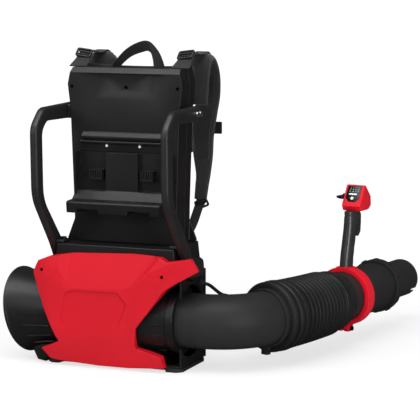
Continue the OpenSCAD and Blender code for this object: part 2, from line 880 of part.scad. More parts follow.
module nozzle() {
    wall = tube_wall;
    color(black) along_tube(blow_length) difference() {
        union() {
            translate([0, 0, -collar_back]) cylinder(r = collar_r, h = collar_back + 6);
            cylinder(r1 = nozzle_ring_r + 6, r2 = nozzle_ring_r, h = 22);
            translate([0, 0, 21])
                cylinder(r1 = nozzle_ring_r - 1, r2 = nozzle_r, h = nozzle_neck - 21);
            cylinder(r = nozzle_r, h = nozzle_length);
            // lock tab and the grip ribs round the collar
            for (a = [0:30:330])
                rotate([0, 0, a]) translate([collar_r - 2, -4, -collar_back + 3]) cube([4, 8, 12]);
        }
        translate([0, 0, -collar_back - e])
            cylinder(r = blow_r + sleeve_gap, h = collar_back + e + sleeve_gap);
        translate([0, 0, -e]) cylinder(r1 = blow_r - 4, r2 = nozzle_r - wall, h = nozzle_neck);
        translate([0, 0, -e]) cylinder(r = nozzle_r - wall, h = nozzle_length + 2 * e);
        // bayonet slots for the tip
        for (a = [0, 180])
            rotate([0, 0, a + 35]) translate([nozzle_r - wall - e, -4, nozzle_length - 20])
                cube([wall + 2 * e, 8, 20 + e]);
    }
}

// ------------------------------------------------------------------ handle

module clamp_ring() {
    lug_h = 12;
    slot = 5;
    color(red) on_handle() difference() {
        union() {
            translate([0, -clamp_width / 2, 0]) rotate([-90, 0, 0])
                cylinder(r = clamp_r, h = clamp_width);
            translate([-14, -clamp_width / 2 + 3, -clamp_r - lug_h])
                cube([28, clamp_width - 6, lug_h + 4]);
            // saddle that the grip stands on
            translate([-grip_width / 2 - 3, -clamp_width / 2, blow_r + 4])
                cube([grip_width + 6, clamp_width, clamp_thickness - 4]);
        }
        translate([0, -clamp_width, 0]) rotate([-90, 0, 0])
            cylinder(r = blow_r + sleeve_gap, h = 2 * clamp_width);
        translate([-slot / 2, -clamp_width, -clamp_r - lug_h - e])
            cube([slot, 2 * clamp_width, clamp_thickness + lug_h + 2 * e]);
        translate([-20, 0, -clamp_r - lug_h / 2]) rotate([0, 90, 0]) cylinder(r = 3.2, h = 40);
    }
}

module clamp_bolt() {
    color(steel) on_handle() translate([-18.3, 0, -clamp_r - 6]) rotate([0, 90, 0]) {
        cylinder(r = 5, h = 4, $fn = 6);
        cylinder(r = 2.9, h = 34);
        translate([0, 0, 32.6]) cylinder(r = 5, h = 4, $fn = 6);
    }
}

// Middle line of the grip seen from the side, leaning toward the nozzle, with its depths
grip_path = [
    [3, grip_base, 34], [6, grip_base + 24, 33], [12, grip_base + 50, 33], [19, grip_base + 80, 34],
    [27, grip_top, 44],
];

// Half an oval at each point of the path, its flat on the parting face
function grip_ring(p, side, inset, flat, rise) =
    [
        for (k = [0:12])
            let (a = side * (90 - k * 15))
            [
                side * (flat + (grip_width / 2 - inset - flat) * max(0, cos(a))),
                p[0] + (p[2] / 2 - inset) * sin(a), p[1] + rise,
            ]
    ];

module grip_solid(side, inset, flat, over) {
    last = len(grip_path) - 1;
    skin([
        for (i = [0:last])
            grip_ring(grip_path[i], side, inset, flat, i == 0 ? over : i == last ? -over : 0)
    ]);
}

module trigger_space() {
    polygon([
        for (p = [[-6, 8], [34, 8], [34, -58], [-14, -58], [-14, -36], [-6, -36]]) trigger_pivot + p
    ]);
}

module grip_half(side) {
    color(black) on_handle() difference() {
        grip_solid(side, 0, seat / 2, 0);
        // hollow, open at the parting face
        grip_solid(side, handle_wall, -e, handle_wall);
        plate_x(-8.2, 8.2) trigger_space();
        // seats of the trigger's pin
        translate([-trigger_pin_half - 0.2, trigger_pivot[0], trigger_pivot[1]]) rotate([0, 90, 0])
            cylinder(r = trigger_pin_r + trigger_play, h = 2 * trigger_pin_half + 0.4);
    }
}

module grip_left() {
    grip_half(-1);
}

module grip_right() {
    grip_half(1);
}

// Side view of the head: keypad face, sloping top, nose and chin
function key_point(u, v) =
    key_foot + u * [sin(head_tilt), cos(head_tilt)] + v * [cos(head_tilt), -sin(head_tilt)];
module head_outline(inset) {
    top = key_point(key_length, 0);
    offset(delta = -inset) polygon([
        [25, head_base], key_foot, top, top + [3, 0.5], [81, head_base + 27],
        [83, head_base + 8], [68, head_base],
    ]);
}

// The head from above, narrower at its nose
module head_plan(inset) {
    half = head_width / 2;
    translate([0, 0, head_base - 5]) linear_extrude(100) polygon([
        [-half + inset, 10], [half - inset, 10], [half - inset, 50],
        [half - 6 - inset, 90], [-half + 6 + inset, 90], [-half + inset, 50],
    ]);
}

module head_solid(inset) {
    half = head_width / 2 - inset;
    intersection() {
        plate_x(-half, half) head_outline(inset);
        head_plan(inset);
    }
}

// Outline of the keypad on its face, rounded off at the foot
module keypad_outline(grow) {
    half = 14 + grow;
    polygon([
        [-half, 22], [-half + 4, 15 - grow], [-half + 9, 13 - grow], [half - 9, 13 - grow],
        [half - 4, 15 - grow], [half, 22], [half, 45 + grow], [-half, 45 + grow],
    ]);
}

// A plate of the keypad's outline, from depth v0 to v1 under the face
module keypad_plate(v0, v1, grow) {
    translate([0, v1, 0]) rotate([90, 0, 0]) linear_extrude(v1 - v0) keypad_outline(grow);
}

module on_key_face() {
    translate([0, key_foot[0], key_foot[1]]) rotate([-head_tilt, 0, 0]) children();
}

module on_keypad() {
    on_handle() on_key_face() children();
}

module control_head() {
    half = head_width / 2;
    color(red) on_handle() difference() {
        head_solid(0);
        head_solid(handle_wall);
        // recess and window for the keypad panel
        on_key_face() {
            keypad_plate(-e, key_depth, seat);
            keypad_plate(key_depth - e, 2 * handle_wall, -2.5);
        }
        // pivot hole of the cruise lever
        translate([-half - e, lever_at[0], lever_at[1]]) rotate([0, 90, 0])
            cylinder(r = lever_pin_r + trigger_play, h = handle_wall + 2 * e);
        // opening over the trigger's root
        plate_x(-8.2, 8.2) translate([trigger_pivot[0] - 6, head_base - e])
            square([30, handle_wall + 2 * e]);
    }
}

button_hole_r = 4.8;
power_at = 18.5;
mode_at = 27.5;
mode_half_w = 10.5;
mode_half_h = 2.8;
module keypad_panel() {
    color(black) on_keypad() difference() {
        keypad_plate(0, key_depth - seat / 2, 0);
        translate([0, -e, power_at]) rotate([-90, 0, 0])
            cylinder(r = button_hole_r, h = key_depth + 2 * e);
        translate([-mode_half_w, -e, mode_at - mode_half_h])
            cube([2 * mode_half_w, key_depth + 2 * e, 2 * mode_half_h]);
    }
}

module power_button() {
    color("white") on_keypad() translate([0, -button_travel - 0.2, power_at]) rotate([-90, 0, 0])
        cylinder(r = button_hole_r - seat, h = button_depth);
}

module mode_button() {
    color("white") on_keypad()
        translate([-mode_half_w + seat, -button_travel - 0.2, mode_at - mode_half_h + seat])
            cube([2 * (mode_half_w - seat), button_depth, 2 * (mode_half_h - seat)]);
}

// Finger lever on the nozzle side of the grip, hung on a pin at its top
module trigger() {
    p = trigger_pivot;
    color(black) on_handle() {
        plate_x(-7.5, 7.5) polygon([
            p + [-4, 5], p + [14, 5], p + [19, 0], p + [19, -18], p + [17, -38],
            p + [8, -47], p + [3, -46], p + [4, -30], p + [1, -14], p + [-5, -5],
        ]);
        translate([-trigger_pin_half, p[0], p[1]]) rotate([0, 90, 0])
            cylinder(r = trigger_pin_r, h = 2 * trigger_pin_half);
    }
}

module trigger_spring() {
    p = trigger_pivot;
    color(steel) on_handle() translate([0, p[0] - 1, p[1] - 32]) rotate([90, 0, 0])
        pipe(3.2, 2.2, 9);
}

// Thumb lever on the left of the head
module cruise_lever() {
    half = head_width / 2;
    p = lever_at;
    color(black) on_handle() difference() {
        union() {
            translate([-half - seat - 4, p[0], p[1]]) rotate([0, 90, 0]) cylinder(r = 7, h = 4);
            translate([-half - 2, p[0], p[1]]) rotate([0, 90, 0])
                cylinder(r = lever_pin_r, h = handle_wall + 3);
            translate([0, 0, p[1] - 3.5]) linear_extrude(7) polygon([
                [-half - seat, p[0]], [-half - seat - 4, p[0]], [-half - seat - 4, p[0] - 7],
                [-half - 14, p[0] - 11], [-half - 14, p[0] - 14], [-half - seat, p[0] - 18],
            ]);
        }
    }
}

// ------------------------------------------------------------------ tower

module tower_outline(inset) {
    offset(delta = -inset) polygon([
        [-tower_waist + 2, tower_foot], [-tower_waist, ledge_height + 20],
        [-tower_half_w + 6, tower_top - 83], [-tower_half_w, tower_top - 33],
        [-tower_half_w + 7, tower_top], [tower_half_w - 7, tower_top],
        [tower_half_w, tower_top - 33], [tower_half_w - 6, tower_top - 83],
        [tower_waist, ledge_height + 20], [tower_waist - 2, tower_foot],
    ]);
}

// Rib between the tower's side and the shoulder
module gusset_outline() {
    polygon([
        [tower_waist - 6, tower_foot], [shoulder_flat, tower_foot], [shoulder_flat, tower_foot + 6],
        [tower_waist - 1, tower_foot + 44], [tower_waist - 6, tower_foot + 44],
    ]);
}

module pocket_outer(grow) {
    polygon([
        [-64 - grow, tower_top - 62 - grow], [64 + grow, tower_top - 62 - grow],
        [84 + grow, tower_top - 21], [88 + grow, tower_top + 5],
        [-88 - grow, tower_top + 5], [-84 - grow, tower_top - 21],
    ]);
}

module pocket_inner(grow) {
    polygon([
        [-30 - grow, tower_top - 46 - grow], [33 + grow, tower_top - 46 - grow],
        [52 + grow, tower_top - 12 + grow], [-49 - grow, tower_top - 12 + grow],
    ]);
}

// Recess with drafted sides
module tower_pocket(grow) {
    hull() {
        plate_y(tower_front - e, tower_front + grow) pocket_outer(grow);
        plate_y(tower_front + pocket_deep + grow - 0.1, tower_front + pocket_deep + grow)
            pocket_inner(grow);
    }
}

panel_screws = [[-112, -38], [0, -38], [112, -38]];

module back_panel() {
    top_bevel = 10;
    color(charcoal) difference() {
        union() {
            plate_y(tower_front, tower_front + panel_depth) tower_outline(0);
            mirrored() plate_y(tower_front, tower_front + 5) gusset_outline();
        }
        difference() {
            plate_y(tower_front + tower_wall, tower_front + panel_depth + e)
                tower_outline(tower_wall);
            tower_pocket(tower_wall);
            // material behind the sloped top edge
            plate_y(tower_front, tower_front + top_bevel + tower_wall)
                translate([-200, tower_top - top_bevel - tower_wall]) square([400, 60]);
        }
        intersection() {
            tower_pocket(0);
            translate([-150, tower_front - 10, 0]) cube([300, 60, tower_top - top_bevel - 1]);
        }
        // sloped top edge
        translate([0, tower_front, tower_top - top_bevel]) rotate([45, 0, 0])
            translate([-200, -40, 0]) cube([400, 80, 20]);
        // opening behind the battery dock
        plate_y(tower_front - e, tower_front + tower_wall + e)
            translate([-dock_half_w + 8, ledge_height + 12])
                square([2 * dock_half_w - 16, dock_top - ledge_height - 24]);
        for (s = panel_screws)
            translate([s[0] * tower_half_w / 122, tower_front - e, tower_top + s[1]])
                rotate([-90, 0, 0]) cylinder(r = screw_r, h = panel_depth);
    }
}

module back_plate() {
    color(black) difference() {
        union() {
            plate_y(plate_front, tower_rear) tower_outline(0);
            mirrored() plate_y(tower_rear - 5, tower_rear) gusset_outline();
        }
        plate_y(plate_front - e, tower_rear - tower_wall) tower_outline(tower_wall);
    }
}

// Ridged hood over the bays, the bay walls and the sloped ledge
module battery_dock() {
    f = tower_front - seat;
    z = ledge_height;
    color(charcoal) {
        // face plate
        plate_y(f - dock_skin, f) polygon([
            [-dock_half_w, z + 10], [dock_half_w, z + 10], [dock_half_w, bay_top],
            [dock_half_w - 9, dock_top], [-dock_half_w + 9, dock_top], [-dock_half_w, bay_top],
        ]);
        // two ridges, one above the other
        plate_x(-dock_half_w + 9, dock_half_w - 9)
            polygon([[f - 1, dock_top], [f - 10, dock_top - 8], [f - 10, dock_top - 13], [f - 1, dock_top - 13]]);
        plate_x(-dock_half_w + 6, dock_half_w - 6) polygon([
            [f - 1, dock_top - 16], [f - 10, dock_top - 18], [f - 10, dock_top - 22],
            [f - 5, dock_top - 23.5], [f - 4, bay_top + 4], [f - 1, bay_top],
        ]);
        // walls of the bays and the block between them
        mirrored() translate([dock_half_w - 4, f - 25, bay_foot - 10])
            cube([4, 24, bay_top - bay_foot + 14]);
        translate([-terminal_pitch / 2 + 20, f - 14, bay_foot - 2])
            cube([terminal_pitch - 40, 13, bay_top - bay_foot + 4]);
        // ledge
        difference() {
            plate_x(-dock_half_w - 1, dock_half_w + 1) polygon([
                [f, z], [f - ledge_reach + 2, z], [f - ledge_reach, z + 20], [f - ledge_reach + 4, z + 23],
                [f - ledge_reach / 2 - 2, z + 24], [f - 14, bay_foot], [f, bay_foot],
            ]);
            // pull slots under the ledge's front edge
            for (side = [-1, 1])
                translate([side * terminal_pitch / 2 - 23, f - ledge_reach - e, z - e])
                    cube([46, 40, 8 + e]);
            // guide grooves in front of the slope
            for (x = [-terminal_pitch / 2 - 28, -terminal_pitch / 2 + 26,
                      terminal_pitch / 2 - 28, terminal_pitch / 2 + 26])
                translate([x, f - ledge_reach + 8, z + 22]) cube([2.4, 16, 3]);
        }
    }
}

block_w = 27;
block_h = 20;
block_out = 15;
module terminal_block(x) {
    f = tower_front - seat - dock_skin - seat;
    color(black) difference() {
        translate([x - block_w / 2, f - block_out, terminal_z]) cube([block_w, block_out, block_h]);
        for (i = [-2:2])
            translate([x + i * 5 - 1, f - block_out - e, terminal_z + 4])
                cube([2, block_out - 2, block_h]);
    }
}

module terminal_block_left() {
    terminal_block(-terminal_pitch / 2);
}

module terminal_block_right() {
    terminal_block(terminal_pitch / 2);
}

module contact_blades() {
    f = tower_front - seat - dock_skin - seat;
    color([0.75, 0.6, 0.4]) for (x = [-terminal_pitch / 2, terminal_pitch / 2]) for (i = [-2:2])
        translate([x + i * 5 - 0.5, f - block_out + 3, terminal_z + 4 + seat])
            cube([1, block_out - 6 - seat, block_h - 6]);
}

module dock_lights() {
    f = tower_front - seat;
    color("white") for (x = [-35, 35]) translate([x, f - 6.6, dock_top - 26.5]) rotate([-90, 0, 0])
        cylinder(r = 2.6, h = 1.2);
}

module controller_board() {
    y = tower_front + tower_wall + 10;
    color([0.1, 0.3, 0.18]) translate([-70, y, tower_foot + 14]) cube([140, 1.6, 50]);
    color(steel) {
        for (x = [-50, -26, -2, 22, 46])
            translate([x, y + 1.6, tower_foot + 40]) rotate([-90, 0, 0]) cylinder(r = 8, h = 12);
        translate([-60, y + 1.6, tower_foot + 18]) cube([116, 9, 10]);
        // standoffs to the rear of the front moulding
        for (x = [-64, 64])
            for (z = [20, 58])
                translate([x, tower_front + tower_wall + seat, tower_foot + z]) rotate([-90, 0, 0])
                    cylinder(r = 3, h = 10 - seat);
    }
}

// Outside and inside of a side handle's loop, seen from the side
bar_out = [
    [tower_front + 42, tower_top - 72], [-bar_reach + 38, tower_top - 74], [-bar_reach, tower_top - 108],
    [-bar_reach + 3, shoulder_top + 96], [base_front + 2, shoulder_top], [base_front + 20, shoulder_top - 29],
];
bar_in = [
    [base_front + 56, shoulder_top - 29], [base_front + 40, shoulder_top],
    [-bar_reach + bar_depth + 3, shoulder_top + 92],
    [-bar_reach + bar_depth, tower_top - 120], [-bar_reach + 50, tower_top - 72 - bar_depth],
    [tower_front + 42, tower_top - 74 - bar_depth],
];

module side_handle(side) {
    inner = tower_half_w - 3.5;
    color(black) mirror([side < 0 ? 1 : 0, 0, 0]) difference() {
        union() {
            plate_x(bar_offset - bar_width / 2, bar_offset + bar_width / 2)
                polygon(concat(bar_out, bar_in));
            // bracket at the tower's side
            translate([inner, tower_front + 12, tower_top - 73 - bar_depth])
                cube([bar_offset - inner, 30, bar_depth - 2]);
            // foot flange on the shoulder
            translate([bar_offset - 24, base_front + 6, shoulder_top + seat]) cube([26, 30, 6]);
        }
        bolt_places(1) cylinder(r = bolt_r + seat, h = 60, center = true);
    }
}

bolt_r = 3.4;
// Places of one side's bolts, each with its own z into the material
module bolt_places(side) {
    for (y = [tower_front + 20, tower_front + 35])
        translate([side * (bar_offset + bar_width / 2), y, tower_top - 73 - bar_depth / 2])
            rotate([0, -side * 90, 0]) children();
    translate([side * (bar_offset - 17), base_front + 21, shoulder_top + seat + 6])
        rotate([180, 0, 0]) children();
}

module side_handle_left() {
    side_handle(-1);
}

module side_handle_right() {
    side_handle(1);
}

module handle_bolts() {
    color(steel) for (side = [-1, 1]) bolt_places(side) {
        translate([0, 0, -4 - seat]) cylinder(r = 6, h = 4);
        translate([0, 0, -e]) cylinder(r = bolt_r, h = 6 + e);
    }
}

module housing_screws() {
    color(steel) {
        for (s = panel_screws)
            translate([s[0] * tower_half_w / 122, tower_front + (s[0] == 0 ? pocket_deep : 0),
                       tower_top + s[1]])
                rotate([-90, 0, 0]) translate([0, 0, 3]) cylinder(r = screw_r - seat, h = 6);
        for (s = cover_screws)
            translate([s[0], wing_front - s[1] * (wing_front - cover_front) + 1.5, cover_screw_z])
                rotate([-90, 0, 0]) cylinder(r = screw_r - seat, h = 6);
    }
}

// ------------------------------------------------------------------ harness

// Closed cushion: flat back on y0, crowned front, sides drawn in between the corners
module cushion(half_w, half_h, y0, depth, channels) {
    n = 16;
    function pull(v) = 1 - 0.04 * (1 - v * v);
    function crown(u, v) =
        depth * (0.35 + 0.65 * pow(max(0, (1 - pow(abs(u), 4)) * (1 - pow(abs(v), 4))), 0.4))
        * (1 - 0.16 * pow(abs(cos(channels * 90 * v)), 12));
    at = [for (i = [0:n]) -1 + 2 * i / n];
    front = [
        for (v = at)
            for (u = at)
                [u * half_w * pull(v), y0 + crown(u, v), v * half_h * pull(u)]
    ];
    back = [for (v = at) for (u = at) [u * half_w * pull(v), y0, v * half_h * pull(u)]];
    m = n + 1;
    k = m * m;
    faces = [
        for (j = [0:n - 1])
            for (i = [0:n - 1])
                let (a = j * m + i, b = a + 1, c = a + m + 1, d = a + m)
                each [[a, b, c], [a, c, d], [k + c, k + b, k + a], [k + d, k + c, k + a]]
    ];
    rims = [
        for (i = [0:n - 1])
            let (bottom = i, top = n * m + i, left = i * m, right = i * m + n)
            each [
                [bottom + 1, bottom, k + bottom], [k + bottom + 1, bottom + 1, k + bottom],
                [top, top + 1, k + top], [top + 1, k + top + 1, k + top],
                [left, left + m, k + left], [left + m, k + left + m, k + left],
                [right + m, right, k + right], [k + right + m, right + m, k + right],
            ]
    ];
    polyhedron(points = concat(front, back), faces = concat(faces, rims), convexity = 4);
}

module back_pad() {
    color(webbing_black) translate([0, 0, back_pad_z])
        cushion(tower_half_w - 6, back_pad_height / 2, pad_seat, back_pad_depth, 4);
}

module lumbar_pad() {
    color(webbing_black) translate([0, 0, lumbar_z])
        cushion(tower_waist - 24, 28, pad_seat, back_pad_depth - 4, 2);
}

// Shoulder strap: its middle line seen from the side, with half widths and x
strap_root = pad_seat + back_pad_depth + strap_thickness / 2 + 0.4;
strap_route = [
    // y, z, middle x, half width
    [strap_root, crown_z - 95, strap_x - 6, 26],
    [strap_root + 3, crown_z - 60, strap_x - 4, 29],
    [strap_root + 8, crown_z - 28, strap_x - 2, 31],
    [strap_root + 22, crown_z - 6, strap_x, 31],
    [strap_root + 42, crown_z - 1, strap_x, 31],
    [strap_root + 60, crown_z - 14, strap_x, 31],
    [strap_root + 70, crown_z - 42, strap_x, 31],
    [strap_root + 72, crown_z - 80, strap_x, 31],
    [strap_root + 66, crown_z - 118, strap_x + 1, 30],
    [strap_root + 57, crown_z - 160, strap_x + 3, 28],
    [strap_root + 46, crown_z - 200, strap_x + 7, 24],
    [strap_root + 34, crown_z - 236, strap_x + 12, 20],
    [strap_root + 25, crown_z - 258, strap_x + 13, 18],
    [strap_root + 15, crown_z - 284, strap_x + 13, 17],
];
strap_sides = 12;

// Ring of a strap at point i of a route, square to the route
function strap_ring(route, i, side) =
    let (
        p = route[i],
        a = route[max(0, i - 1)],
        b = route[min(len(route) - 1, i + 1)],
        run = norm([b[0] - a[0], b[1] - a[1]]),
        across = [(a[1] - b[1]) / run, (b[0] - a[0]) / run],
        end = i == 0 || i == len(route) - 1 ? 0.55 : 1
    )
    [
        for (k = [0:strap_sides - 1])
            let (
                t = k * 360 / strap_sides,
                w = p[3] * sign(cos(t)) * pow(abs(cos(t)), 0.45),
                h = end * strap_thickness / 2 * sign(sin(t)) * pow(abs(sin(t)), 0.7)
            )
            [side * (p[2] + w), p[0] + h * across[0], p[1] + h * across[1]]
    ];

module shoulder_strap(side) {
    route = spline(strap_route, 3);
    color(webbing_black) skin([
        for (i = [0:len(route) - 1])
            let (ring = strap_ring(route, i, side))
            side > 0 ? ring : [for (k = [strap_sides - 1:-1:0]) ring[k]]
    ]);
}

module shoulder_strap_left() {
    shoulder_strap(-1);
}

module shoulder_strap_right() {
    shoulder_strap(1);
}

// Flat webbing across x, thickened upward from a side-view line
module webbing_run(x, points, width = webbing_width) {
    t = webbing_thickness;
    n = len(points);
    function normal_at(i) =
        let (a = points[max(0, i - 1)], b = points[min(n - 1, i + 1)])
        [a[1] - b[1], b[0] - a[0]] / norm(b - a);
    plate_x(x - width / 2, x + width / 2) polygon(concat(
        points,
        [for (i = [n - 1:-1:0]) points[i] + t * normal_at(i)]
    ));
}

lifter_x = strap_x + 8;
function strap_top(i) =
    let (r = spline(strap_route, 3), a = r[i - 1], b = r[i + 1], run = norm([b[0] - a[0], b[1] - a[1]]))
    [r[i][0], r[i][1]] + (strap_thickness / 2 + 0.5) * [a[1] - b[1], b[0] - a[0]] / run;
lifter_route = concat(
    [
        [tower_front + 24, tower_top + seat], [tower_front + 34, tower_top + 7.5],
        [tower_front + 42.8, tower_top + 14.1], [tower_front + 63.8, tower_top + 27.2],
        [tower_front + 76, tower_top + 28.5], [strap_root - 4, tower_top + 24],
    ],
    [for (i = [9:13]) strap_top(i)]
);
module lifter_straps() {
    color(webbing_black) mirrored() webbing_run(lifter_x, lifter_route);
}

// Ladder buckle: a frame with two bars
module ladder_buckle(width, height) {
    difference() {
        translate([-width / 2, -3, 0]) cube([width, 6, height]);
        for (z = [4, height / 2 + 1.5])
            translate([4 - width / 2, -4, z]) cube([width - 8, 8, height / 2 - 5.5]);
    }
}

module lifter_buckles() {
    color(black) mirrored() translate([lifter_x, tower_front + 43, tower_top + 20.5])
        rotate([-58, 0, 0]) ladder_buckle(webbing_width + 9, 20);
}

strap_end = strap_route[len(strap_route) - 1];
buckle_z = strap_end[1] - 27;
buckle_y = strap_end[0] - 6;
lower_x = strap_end[2] - 11;
lower_route = [
    [pad_seat + 1.8, tower_foot + 3], [pad_seat + 10, tower_foot + 13], [buckle_y - 10.4, buckle_z - 17.7],
    [buckle_y - 2.6, buckle_z + 5],
];
module lower_straps() {
    color(webbing_black) mirrored() webbing_run(lower_x, lower_route, webbing_width - 4);
}

module lower_buckles() {
    color(black) mirrored() translate([strap_end[2], buckle_y, buckle_z]) rotate([-14, 0, 0])
        ladder_buckle(webbing_width + 14, 25);
}

// Arch of webbing over the tower's top edge
haul_half = 47;
haul_arch = [
    [-haul_half, 0], [-haul_half + 7, 0.28], [-26, 0.62], [-4, 0.9],
    [17, 1], [33, 0.82], [43, 0.45], [haul_half + 2, 0],
];
module haul_loop() {
    line = spline([for (p = haul_arch) [p[0], tower_top + seat + haul_height * p[1]]], 3);
    t = webbing_thickness;
    last = len(line) - 1;
    function inward(i) =
        let (a = line[max(0, i - 1)], b = line[min(last, i + 1)])
        line[i] + t * [b[1] - a[1], a[0] - b[0]] / norm(b - a);
    color(webbing_black) intersection() {
        plate_y(tower_rear - 26, tower_rear - 26 + webbing_width)
            polygon(concat(line, [for (i = [last:-1:0]) inward(i)]));
        translate([-100, 0, tower_top + seat]) cube([200, 100, 200]);
    }
}

// Chest strap between the shoulder straps, with its buckle and sliders
chest_z = crown_z - 146;
chest_y = strap_root + 61 + strap_thickness / 2 + 4;
module sternum_strap() {
    color(webbing_black) mirrored() translate([23, chest_y, chest_z - 10])
        cube([strap_x - 23 - 8, 1.8, 20]);
}

module sternum_buckle() {
    color(black) translate([-22.5, chest_y - 4, chest_z - 13]) cube([45, 9, 26]);
}

module sternum_sliders() {
    color(black) mirrored() translate([strap_x - 7.5, chest_y - 1.8, chest_z - 12]) cube([44, 5.8, 24]);
}

// ------------------------------------------------------------------ control cable

cable_r = 3.5;
cable_sides = 10;
gland_r = 7;
gland_at = [skid_right, 40, fan_height + 65];
// Place on the elbow's inner side where the cable goes in, and the direction there
entry_turn = 67;
entry_rise = 25;
entry = [
    cos(entry_rise) * sin(entry_turn), -cos(entry_rise) * cos(entry_turn), -sin(entry_rise),
];
entry_r = elbow_bend_r - elbow_r * cos(entry_rise);
entry_at = [
    bend_x + entry_r * sin(entry_turn), bend_y - entry_r * cos(entry_turn),
    fan_height + elbow_r * sin(entry_rise),
];
// Middle line from the gland, behind the elbow, into the grommet
cable_route = concat(
    [
        for (p = [[4, 0, 0], [9, 0, 0], [13.5, 2.6, -1], [17.5, 8.5, -5],
                  [22, 15, -11], [27, 21, -17.5], [34, 27, -24]])
            gland_at + p
    ],
    [
        for (p = [[-33, -0.5, 15], [-24, 4.5, 11.5], [-15.5, 6, 8]])
            entry_at + p
    ],
    [for (back = [9, 3.5]) entry_at - back * entry]
);

module on_gland(back) {
    translate(gland_at + [back, 0, 0]) rotate([0, 90, 0]) children();
}

module cable_gland() {
    color(black) on_gland(seat) difference() {
        union() {
            cylinder(r = gland_r + 2, h = 2);
            cylinder(r1 = gland_r - 1, r2 = cable_r + 1.9, h = 8);
        }
        translate([0, 0, 3]) cylinder(r = cable_r + 2 * seat, h = 6);
    }
}

function unit(v) = v / norm(v);
function cable_ring(p, i) =
    let (
        a = p[max(0, i - 1)],
        b = p[min(len(p) - 1, i + 1)],
        d = unit(b - a),
        side = unit(cross(d, [0, 0, 1])),
        up = cross(side, d)
    )
    [
        for (k = [0:cable_sides - 1])
            p[i] + cable_r * (cos(k * 360 / cable_sides) * side + sin(k * 360 / cable_sides) * up)
    ];

module control_cable() {
    color(black) skin([for (i = [0:len(cable_route) - 1]) cable_ring(cable_route, i)]);
}

module cable_grommet() {
    length = 8;
    color(black) translate(entry_at - 0.8 * entry) rotate([0, 90 + entry_rise, entry_turn - 90])
        difference() {
            translate([0, 0, -length]) cylinder(r1 = cable_r + 2, r2 = gland_r - 1, h = length);
            translate([0, 0, -length - e]) cylinder(r = cable_r + seat, h = length + e - 2);
        }
}

// ------------------------------------------------------------------ parts

foot_skid();
base_chassis();
front_cover();
housing_screws();
inlet_bell();
inlet_grille();
fan_duct();
stator_vanes();
motor_can();
motor_stator();
motor_bearings();
tail_cone();
impeller();
motor_shaft();
outlet_cone();
outlet_ring();
elbow();
rear_hose_clamp();
bellows();
swivel_tube();
front_hose_clamp();
nozzle();
back_panel();
back_plate();
battery_dock();
terminal_block_left();
terminal_block_right();
contact_blades();
dock_lights();
controller_board();
side_handle_left();
side_handle_right();
handle_bolts();
back_pad();
lumbar_pad();
shoulder_strap_left();
shoulder_strap_right();
lifter_straps();
lifter_buckles();
lower_straps();
lower_buckles();
haul_loop();
sternum_strap();
sternum_buckle();
sternum_sliders();
cable_gland();
control_cable();
cable_grommet();
clamp_ring();
clamp_bolt();
grip_left();
grip_right();
control_head();
keypad_panel();
trigger();
trigger_spring();
cruise_lever();
power_button();
mode_button();
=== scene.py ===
import json
import math

import bmesh
import bpy
import numpy as np
from mathutils import Matrix, Vector, noise


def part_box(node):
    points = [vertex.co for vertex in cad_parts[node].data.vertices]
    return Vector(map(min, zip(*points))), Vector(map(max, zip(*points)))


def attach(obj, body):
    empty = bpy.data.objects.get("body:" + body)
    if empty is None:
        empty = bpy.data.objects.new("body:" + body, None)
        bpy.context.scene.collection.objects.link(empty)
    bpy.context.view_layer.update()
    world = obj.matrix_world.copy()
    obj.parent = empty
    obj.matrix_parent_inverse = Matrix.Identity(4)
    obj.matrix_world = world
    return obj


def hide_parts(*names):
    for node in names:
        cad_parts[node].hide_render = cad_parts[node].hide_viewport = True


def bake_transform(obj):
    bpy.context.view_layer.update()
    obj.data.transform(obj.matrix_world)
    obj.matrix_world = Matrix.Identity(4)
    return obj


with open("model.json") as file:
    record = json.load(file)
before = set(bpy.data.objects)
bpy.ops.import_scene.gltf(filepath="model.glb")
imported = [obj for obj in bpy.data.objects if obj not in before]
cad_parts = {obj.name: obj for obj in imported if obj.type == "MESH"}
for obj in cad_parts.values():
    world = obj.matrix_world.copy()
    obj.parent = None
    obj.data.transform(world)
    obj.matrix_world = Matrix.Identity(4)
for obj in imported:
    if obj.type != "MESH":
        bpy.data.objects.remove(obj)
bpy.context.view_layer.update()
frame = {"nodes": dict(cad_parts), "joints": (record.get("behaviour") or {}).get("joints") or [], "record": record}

NODES = frame["nodes"]
JOINTS = {j["name"]: j for j in frame["joints"]}
MM = 0.001
UP = np.array([0, 0, 1.0])
SIDES = ((-1, "left"), (1, "right"))


def deg(a):
    return math.radians(a)


def lowest(node):
    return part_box(node)[0] / MM


def highest(node):
    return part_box(node)[1] / MM


def joint_at(name):
    return Vector(JOINTS[name]["pos_m"]) / MM


def new_object(name, data):
    obj = bpy.data.objects.new(name, data)
    bpy.context.collection.objects.link(obj)
    return obj


# ---------------- camera

CAMERA_YAW = 21.5
CAMERA_RISE = 7.7
CAMERA_PLACE = (1.48317, -3.32002, 0.79511)
FOCAL_LENGTH = 159.9

lens = bpy.data.cameras.new("camera")
lens.lens = FOCAL_LENGTH
lens.sensor_width = 36
lens.clip_end = 50
camera = new_object("camera", lens)
camera.location = CAMERA_PLACE
camera.rotation_euler = (deg(90 - CAMERA_RISE), 0, deg(CAMERA_YAW))
bpy.context.scene.camera = camera


# ---------------- materials


